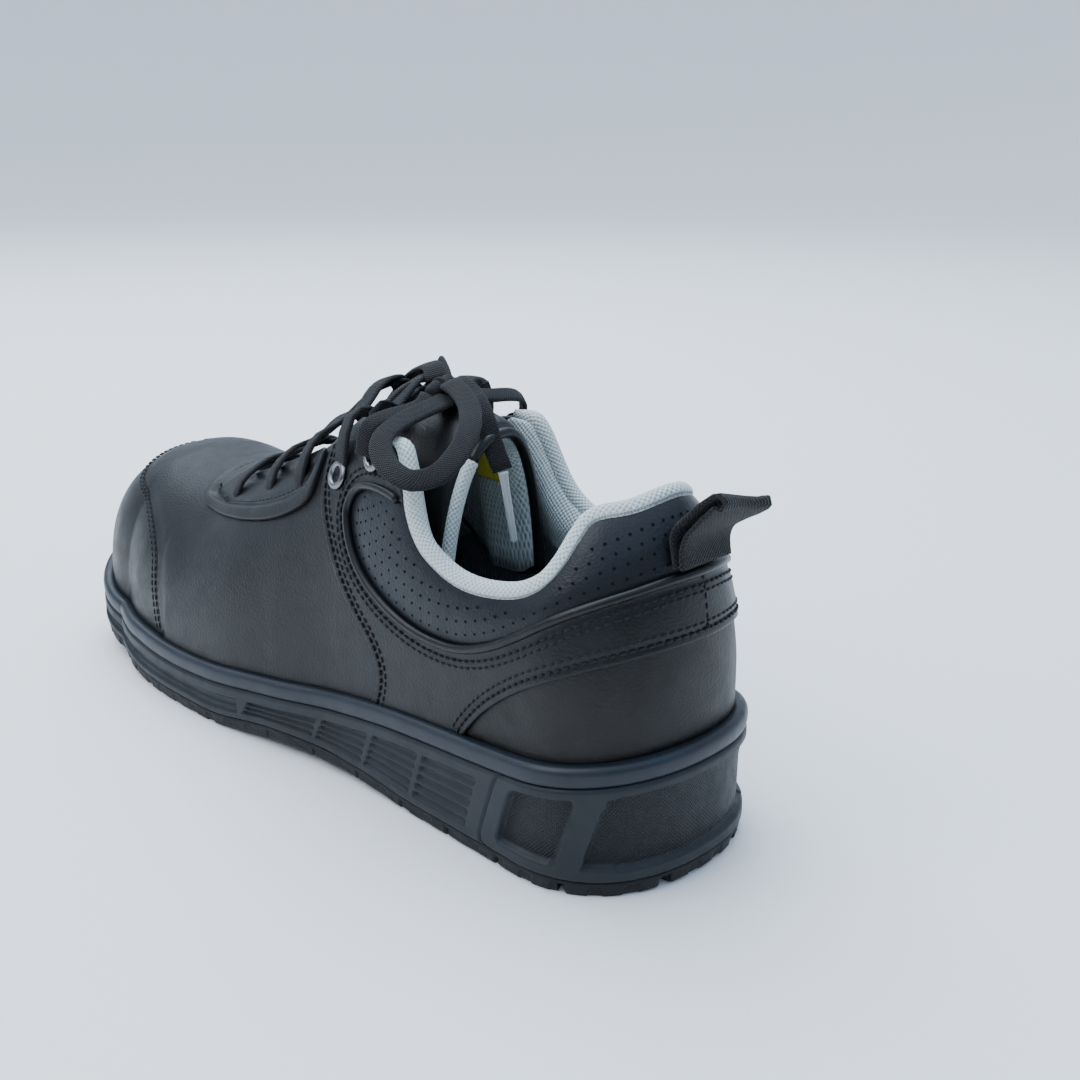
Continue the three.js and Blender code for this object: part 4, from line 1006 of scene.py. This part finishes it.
def make_tongue():
    nu, nv = 90, 60
    y = np.linspace(72, -63, nu)
    v = np.linspace(-1, 1, nv)
    Y, V = np.meshgrid(y, v, indexing="ij")
    u = np.linspace(0, 1, nu)[:, None]
    th = read(TONGUE, "thick", Y)
    rim = np.sqrt(np.clip(1 - np.clip((u - 0.955) / 0.045, 0, 1) ** 2, 0.0, 1)) * (1 - 0.55 * np.abs(V) ** 8)
    mid = tongue_point(Y, V, th / 2)
    low, high = tongue_point(Y, V, th), tongue_point(Y, V, np.zeros_like(th))
    top, under = mid + (high - mid) * rim[..., None], mid + (low - mid) * rim[..., None]
    faces = [tuple(reversed(f)) for f in grid_faces(nu, nv)]
    faces += grid_faces(nu, nv, start=nu * nv)
    ring = rim_of(nu, nv)
    faces += [(a, b, b + nu * nv, a + nu * nv) for a, b in zip(ring, ring[1:] + ring[:1])]
    uv = np.stack([Y, V * 40], -1).reshape(-1, 2)
    obj = new_object("tongue_pad", np.vstack([top.reshape(-1, 3), under.reshape(-1, 3)]), faces, MESH,
                     "mesh_lining", ["tongue"], uv=np.vstack([uv, uv]))
    obj.data.materials.append(LEATHER)
    count = (nu - 1) * (nv - 1)
    index = np.zeros(len(obj.data.polygons), int)
    index[:count] = 1
    obj.data.polygons.foreach_set("material_index", index)
    # A bound edge round the tongue's end.
    bound = np.concatenate([mid[-1, 14:-1], mid[::-1, -1][:nu - 20]])
    rolled = np.concatenate([mid[20:, 0], mid[-1, 1:15]])
    for which, edge, r, mat in (("rim", bound, 1.7, BINDING), ("roll", rolled, 2.2, MESH)):
        path = even(edge, 1.5)
        w, f, uv = sweep_mesh(path, round_section(r, r * 1.15, 14), ups_along(path, [0, -1, 0.3]))
        new_object(f"tongue_{which}", w, f, mat, "mesh_lining", uv=uv)
    # Plain tab on the inner face.
    n1, n2 = 10, 16
    Y, V = np.meshgrid(np.linspace(-43, -56, n1), np.linspace(0.38, 0.7, n2), indexing="ij")
    a = tongue_point(Y, V, read(TONGUE, "thick", Y) + 0.35)
    b = tongue_point(Y, V, read(TONGUE, "thick", Y) + 1.0)
    faces = grid_faces(n1, n2, start=n1 * n2) + [tuple(reversed(f)) for f in grid_faces(n1, n2)]
    ring = rim_of(n1, n2)
    faces += [(p, q, q + n1 * n2, p + n1 * n2) for p, q in zip(ring, ring[1:] + ring[:1])]
    uv = np.stack([Y, V * 26], -1).reshape(-1, 2)
    new_object("tongue_tab", np.vstack([a.reshape(-1, 3), b.reshape(-1, 3)]), faces, YELLOW, "tongue_tab",
               ["tongue_label"], uv=np.vstack([uv, uv]))


make_tongue()


def make_eyelets():
    for row, (y, share) in enumerate(HOLES[3:]):
        for side, which in ((-1, "outer"), (1, "inner")):
            s, t = by_share(side, y, share)
            c, n = on_form(s, t, 0.0), normal(s, t)
            a = unit(np.cross(n, [0, 0, 1]))
            b = np.cross(n, a)
            profile = [[2.5, -2.2], [2.5, 1.4], [2.5, 2.3], [2.8, 2.9], [3.4, 3.15], [4.1, 3.0], [4.6, 2.6],
                       [4.75, 2.1], [4.2, 1.9], [3.1, 1.9], [3.0, -2.2]]
            q = np.arange(32) / 32 * 2 * np.pi
            v = np.array([[c + (a * math.cos(k) + b * math.sin(k)) * r + n * z for r, z in profile]
                          for k in q])
            faces = grid_faces(32, len(profile), True, True)
            new_object(f"eyelet_ring_{which}_{row + 1}", v.reshape(-1, 3), faces, NICKEL, "eyelet_metal",
                       [f"eyelet_{which}_{row + 1}"])


make_eyelets()


def make_pull_loop():
    up = np.linspace(0, 0.9, 900)
    back = surface(0 * up, up)
    z = FINE["piping"][0, 1] + 2.1
    start = np.array([0, np.interp(z, back[:, 2], back[:, 1]), z])
    path = even(route([start + [0, -a, b] for a, b in PULL], 110), 0.9)
    twist = np.clip((start[1] - 3 - path[:, 1]) / 12, 0, 1) * 0.32
    ups = unit(np.stack([1 + 0 * twist, 0 * twist, -twist], -1))
    v, f, uv = sweep_mesh(path, flat_section(21, 1.4)[:, ::-1], ups)
    new_object("heel_webbing", v, f, WEBBING, "webbing", ["pull_loop"], uv=uv[:, ::-1])


make_pull_loop()


# The sole's side, as a distance out from the feather line at each height.
def arc_table():
    s = np.linspace(-0.5, 0.5, 2001)
    p = on_form(s, np.zeros_like(s), np.full_like(s, WELT))
    run = np.concatenate([[0], np.cumsum(np.linalg.norm(np.diff(p, axis=0), axis=1))])
    return s, run - run[1000]


ARC_S, ARC_A = arc_table()


def soft(d, width=0.5):
    """1 inside, 0 outside, over a soft edge."""
    k = np.clip(0.5 - d / (2 * width), 0, 1)
    return k * k * (3 - 2 * k)


def rounded(x, y, hx, hy, r):
    qx, qy = np.abs(x) - hx + r, np.abs(y) - hy + r
    return np.hypot(np.maximum(qx, 0), np.maximum(qy, 0)) + np.minimum(np.maximum(qx, qy), 0) - r


SLOTS = [(-95, -72, 5), (-69.5, -48.5, 5), (-46, -24, 4), (-21.5, 10, 3)]
POCKETS = [(0.051, 0.076), (-0.041, 0.041), (-0.076, -0.051)]


def sole_relief(s, y, z):
    """Depth cut into the side wall, and a mask of the pocket floors, for their net texture and their painted
    shade.
    """
    arc = np.interp((s + 0.5) % 1 - 0.5, ARC_S, ARC_A)
    low, high = ground(y) + RUBBER + 2.5, rand_top(y) - RAND_HIGH - 3.5
    k = (z - low) / (high - low)
    deep = np.zeros_like(z)
    for a, b, count in SLOTS:
        f = k * count
        row = np.floor(f)
        ok = (row >= 0) & (row < count)
        x = y + 1.1 * (f - count / 2)
        d = rounded(x - (a + b) / 2, (f - row - 0.5) / count * (high - low), (b - a) / 2,
                    0.31 * (high - low) / count, 0.9)
        deep = np.maximum(deep, np.where(ok, 1.1 * soft(d, 0.4), 0))
    # Two long ribs run on round the toe.
    f = k * 2
    row = np.floor(f)
    d = np.maximum(np.abs((f - row - 0.42)) / 2 * (high - low) - 1.2, 14 - y)
    deep = np.maximum(deep, np.where((row >= 0) & (row < 2), 1.0 * soft(d, 0.5), 0))
    floor = np.zeros_like(z)
    for n, (a, b) in enumerate(POCKETS):
        ca, cb = np.interp([a, b], ARC_S, ARC_A)
        zl, zh = ground(y) + 8.7, rand_top(y) - 9.5
        lean = (z - (zl + zh) / 2) * 0.33
        if n == 1:
            up = z - (zl + zh) / 2
            d = np.maximum(np.abs(arc) - cb + 0.33 * up, np.abs(up) - (zh - zl) / 2)
            d = np.where((np.abs(arc) > cb - 6) & (np.abs(up) > (zh - zl) / 2 - 3), d + 0.4, d)
            border = None
        else:
            side = 1 if n == 0 else -1
            x = arc - (ca + cb) / 2 + lean * side
            d = rounded(x, z - (zl + zh) / 2, (cb - ca) / 2, (zh - zl) / 2, 2.2)
            frame_line = rounded(x - 1.5 * side, z - (zl + zh) / 2 - 0.5, (cb - ca) / 2 + 5.2,
                                 (zh - zl) / 2 + 4.6, 5)
            border = np.where((x - 1.5 * side) * side > -(cb - ca) / 2 - 8, np.abs(frame_line) - 0.15, 9)
            border = np.where(x * side > 4, border, 9)
        deep = np.maximum(deep, 2.1 * soft(d, 0.55))
        # This mask marks the pocket floors for their net and their painted shade.
        floor = np.maximum(floor, soft(d + 0.6, 0.4))
        if border is not None:
            deep = np.maximum(deep, 0.95 * soft(border - 0.15, 0.45))
    return deep, floor


def ring_round(s, off, z):
    """Points round the foot of the form, off mm outside it, at the heights z."""
    q = on_form(s, np.zeros(len(s)), np.zeros(len(s)) + off)
    q[:, 2] = z
    return q


def make_sole():
    ns = 1500
    s = np.arange(ns) / ns
    y0 = on_form(s, np.zeros(ns))[:, 1]
    # Side wall from the outsole to the crease under the rand.
    v = np.linspace(0, 1, 54)
    S, V = np.meshgrid(s, v, indexing="ij")
    Y = np.broadcast_to(y0[:, None], S.shape)
    low, high = ground(Y) + RUBBER + 0.25, rand_top(Y) - RAND_HIGH
    Z = low + (high - low) * V
    out = WELT + 0.25 * np.sin(np.pi * V) + 0.25 * np.exp(-((Z - low) / 2.5) ** 2)
    out = out - 0.9 * np.exp(-((high - Z) / 0.55) ** 2)
    out = out - 0.5 * np.exp(-((Z - low) / 0.35) ** 2)
    deep, floor = sole_relief(S, Y, Z)
    p = on_form(S, np.zeros_like(S), out - deep)
    p[..., 2] = Z
    inner = [ring_round(s, off, high[:, 0] + dz) for off, dz in ((1.5, 0.0), (-1.0, -0.5))]
    bottom = [ring_round(s, off, low[:, 0]) for off in (-8.0, 0.0)]
    rows = np.stack(bottom + [p[:, k] for k in range(len(v))] + inner, 1)
    arc = np.interp((s + 0.5) % 1 - 0.5, ARC_S, ARC_A)
    uv = np.stack(np.broadcast_arrays(arc[:, None], rows[..., 2]), -1).reshape(-1, 2)
    # Pocket floor mask, for the net texture and the painted shade in the pockets.
    pocket_net_and_shade_mask = np.concatenate([np.zeros((ns, 2)), floor, np.zeros((ns, 2))], 1).ravel()
    nv = rows.shape[1]
    new_object("sole_wall", rows.reshape(-1, 3), grid_faces(ns, nv, True, True), SOLE, "sole_side",
               ["midsole"], uv=uv, attributes={"pocket": pocket_net_and_shade_mask})
    # The satin bead at its top.
    prof = [(-2.0, -6.2), (1.5, -6.0), (3.3, -5.95), (3.95, -5.6), (4.25, -4.9), (4.4, -3.8),
            (4.45, -2.7), (4.3, -1.6), (3.9, -0.75), (3.2, -0.2), (2.3, 0.0), (0.9, -0.05), (0.2, -0.5),
            (-2.0, -1.5)]
    rows = np.stack([ring_round(s, off, rand_top(y0) + dz) for off, dz in prof], 1)
    uv = np.stack(np.broadcast_arrays(arc[:, None], np.arange(len(prof))[None]), -1).reshape(-1, 2)
    new_object("sole_rand", rows.reshape(-1, 3), grid_faces(ns, len(prof), True, True), RAND_RUBBER,
               "sole_side", uv=uv)


make_sole()


def make_outsole():
    ns = 1000
    s = np.arange(ns) / ns
    y0 = on_form(s, np.zeros(ns))[:, 1]
    arc = np.interp((s + 0.5) % 1 - 0.5, ARC_S, ARC_A)
    rows = []
    notch = soft(np.abs((arc / 10.5) % 1 - 0.5) * 10.5 - 1.5, 0.7)
    for off, dz in ((-12, RUBBER), (WELT - 0.6, RUBBER), (WELT - 0.3, RUBBER - 0.25),
                    (WELT - 0.2, RUBBER - 1), (WELT - 0.35, 2.6), (WELT - 0.5, 1.6), (WELT - 0.7, 0.5),
                    (WELT - 1.2, 0.0), (-12, 0.0)):
        cut = 3.4 * notch * (1.0 if dz < 3 and off > 0 else 0.0)
        rows.append(ring_round(s, off - cut, ground(y0) + dz + (2.2 if off < 0 and dz == 0 else 0)))
    rows = np.stack(rows, 1)
    uv = np.stack(np.broadcast_arrays(arc[:, None], np.arange(len(rows[0]))[None]), -1).reshape(-1, 2)
    new_object("outsole_edge", rows.reshape(-1, 3), grid_faces(ns, rows.shape[1], True, True), TREAD,
               "outsole_rubber", uv=uv)


make_outsole()


def make_insole():
    ns, nr = 240, 26
    s = np.arange(ns) / ns
    edge = on_form(s, np.zeros(ns), np.full(ns, -3.2))
    mid_y = np.clip(edge[:, 1], -110, 96)
    centre = np.stack([read(FORM, "ridge_x", mid_y) * 0.6, mid_y], -1)
    rows = []
    for k in np.linspace(1, 0.0, nr):
        xy = centre + (edge[:, :2] - centre) * k
        z = rand_top(xy[:, 1]) - 1.6 - 1.6 * (1 - k**4)
        rows.append(np.column_stack([xy, z]))
    rows = np.stack(rows, 1)
    uv = rows[..., :2].reshape(-1, 2)
    new_object("insole_felt", rows.reshape(-1, 3), grid_faces(ns, nr, wrap_u=True), FELT, "insole_felt",
               ["insole"], uv=uv)


make_insole()


def make_stitches():
    parts = Parts()
    toe = route(TOE_SEAM, 60)
    for shift, off in ((-0.01, 0.4), (0.014, 1.0), (0.034, 1.1)):
        half = np.stack([toe[:, 0], toe[:, 1]], -1)
        lean = unit(np.gradient(half * [640, 105], axis=0))
        half = half + np.stack([-lean[:, 1] / 640, lean[:, 0] / 105], -1) * (shift * -105)
        half = half[(half[:, 1] > 0.02) & (half[:, 0] < 0.499)]
        for st in (half, np.stack([1 - half[:, 0], half[:, 1]], -1)):
            stitch_row(parts, st, off)
    for side in (-1, 1):
        for shift in (-1.7, -4.0):
            line = FINE["front"][(FINE["front"][:, 1] > 28) & (FINE["front"][:, 1] < 103)]
            stitch_row(parts, one_side(line, side, shift), 1.75)
    for shift in (1.8, 3.8):
        stitch_row(parts, laid(FINE["strap"][FINE["strap"][:, 1] > 33][::-1], shift), 1.75)
    for shift in (-3.4, -5.3):
        stitch_row(parts, laid(FINE["piping"], shift), 1.75)
    # Round the lace patch, and a short row down the back.
    edge = route([[y, share] for y, share in PATCH], 80)
    for side in (-1, 1):
        s, q = by_share(side, edge[:, 0] - 3.0 * (edge[:, 0] > 50), np.maximum(edge[:, 1] - 0.07, 0.0))
        stitch_row(parts, np.stack([s, q], -1)[8:-2], 2.35, r=0.3)
    up = np.linspace(0, 0.9, 400)
    back = surface(0 * up, up)
    up = np.interp([71, 87], back[:, 2], up)
    stitch_row(parts, np.stack([np.zeros(40), np.linspace(*up, 40)], -1), 1.75, r=0.3)
    parts.make("stitching", THREAD, "black_upper", smooth=True)


def make_perforations():
    # The panel has no holes. Each perforation is a flat dark disc, painted shade where the hole would be.
    parts = Parts()
    base = laid(FINE["piping"][FINE["piping"][:, 0] < -35][:70], 2.6)
    p = on_form(base[:, 0], base[:, 1], 0.0 * base[:, 0])
    columns = even(np.hstack([p, base]), 3.8)
    q = np.arange(8) / 8 * 2 * np.pi
    for col in columns:
        s, t0 = col[3], col[4]
        t = np.linspace(t0, 0.75, 260)
        line = surface(np.full_like(t, s), t)
        run = np.concatenate([[0], np.cumsum(np.linalg.norm(np.diff(line, axis=0), axis=1))])
        for high in np.arange(1.5, run[-1], 3.8):
            tt = np.interp(high, run, t)
            c = surface(s, tt)
            one = c[None]
            if in_collar(one, np.array([s]), np.array([tt]))[0] < 3.2:
                continue
            room = under_topline(one, np.array([s]), np.array([tt]))[0]
            if room < 7.4 or c[1] > -36:
                continue
            n = normal(s, tt)
            d = min(room - 1.2, in_collar(one, np.array([s]), np.array([tt]))[0] + 1.2)
            c = c + n * (0.3 + 1.5 * (1 - math.exp(-d / 5)) + 0.04)
            a = unit(np.cross(n, [0, 0, 1]))
            b = np.cross(n, a)
            ring = [c + (a * math.cos(k) + b * math.sin(k)) * 0.45 for k in q]
            low = [c + (a * math.cos(k) + b * math.sin(k)) * 0.3 - n * 0.02 for k in q]
            parts.add(np.array(ring + low), [(i, (i + 1) % 8, 8 + (i + 1) % 8, 8 + i) for i in range(8)]
                      + [tuple(range(8, 16))])
    parts.make("perforations", HOLE_SHADE, "black_upper", smooth=False)


make_stitches()
make_perforations()

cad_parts["outsole"].data.materials.clear()
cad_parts["outsole"].data.materials.append(TREAD)


# Floor and light.
def make_stage():
    # A round floor that sweeps up into a wall behind the shoe, as the camera sees it.
    count = 96
    turn = np.arange(count) / count * 2 * np.pi
    aside = np.abs((turn - 0.7 + np.pi) % (2 * np.pi) - np.pi)
    rise = np.clip((2.0 - aside) / 0.6, 0, 1)
    rise = rise * rise * (3 - 2 * rise)
    profile = ([(1.3, 0), (2.6, 0)] + [(2.6 + 2 * math.sin(q), 2 * (1 - math.cos(q))) for q in
                                       np.linspace(0, math.pi / 2, 13)[1:]] + [(4.6, 4.5)])
    rows = np.array([[[r * math.cos(a), r * math.sin(a), z * k] for r, z in profile]
                     for a, k in zip(turn, rise)])
    faces = [tuple(reversed(f)) for f in grid_faces(count, len(profile), wrap_u=True)]
    faces += [tuple(i * len(profile) for i in range(count))]
    mesh = bpy.data.meshes.new("floor")
    mesh.from_pydata(rows.reshape(-1, 3).tolist(), [], faces)
    mesh.polygons.foreach_set("use_smooth", [True] * len(mesh.polygons))
    floor = bpy.data.objects.new("floor", mesh)
    bpy.context.scene.collection.objects.link(floor)
    mat, tree, bsdf = nodes_of("floor")
    bsdf.inputs["Base Color"].default_value = (0.96, 0.94, 0.91, 1)
    bsdf.inputs["Roughness"].default_value = 0.9
    floor.data.materials.append(mat)
    world = bpy.data.worlds.new("studio")
    bpy.context.scene.world = world
    world.use_nodes = True
    tree = world.node_tree
    back = tree.nodes["Background"]
    # Bright and bluish above, dim towards the walls.
    at = tree.nodes.new("ShaderNodeTexCoord")
    parts = tree.nodes.new("ShaderNodeSeparateXYZ")
    tree.links.new(at.outputs["Generated"], parts.inputs[0])
    sky = ramp(tree, parts.outputs[2], [(0.0, (0.1, 0.1, 0.11)), (0.3, (0.16, 0.17, 0.2)),
                                        (0.62, (0.54, 0.72, 1.0)), (1.0, (0.86, 1.04, 1.32))])
    tree.links.new(sky, back.inputs[0])
    back.inputs[1].default_value = 1.5
    for name, spot, aim, size, power, tint in (
            ("sky", (0.3, 0.7, 1.5), (0, 0.02, 0.05), 1.6, 36, (0.78, 0.89, 1.0)),
            ("side", (-1.1, 0.5, 1.3), (0, 0, 0.05), 1.0, 12, (1.0, 0.98, 0.96))):
        lamp = bpy.data.lights.new(name, "AREA")
        lamp.energy, lamp.size, lamp.color = power, size, tint
        obj = bpy.data.objects.new(name, lamp)
        bpy.context.scene.collection.objects.link(obj)
        obj.location = spot
        obj.rotation_euler = (Vector(aim) - Vector(spot)).to_track_quat("-Z", "Y").to_euler()


make_stage()
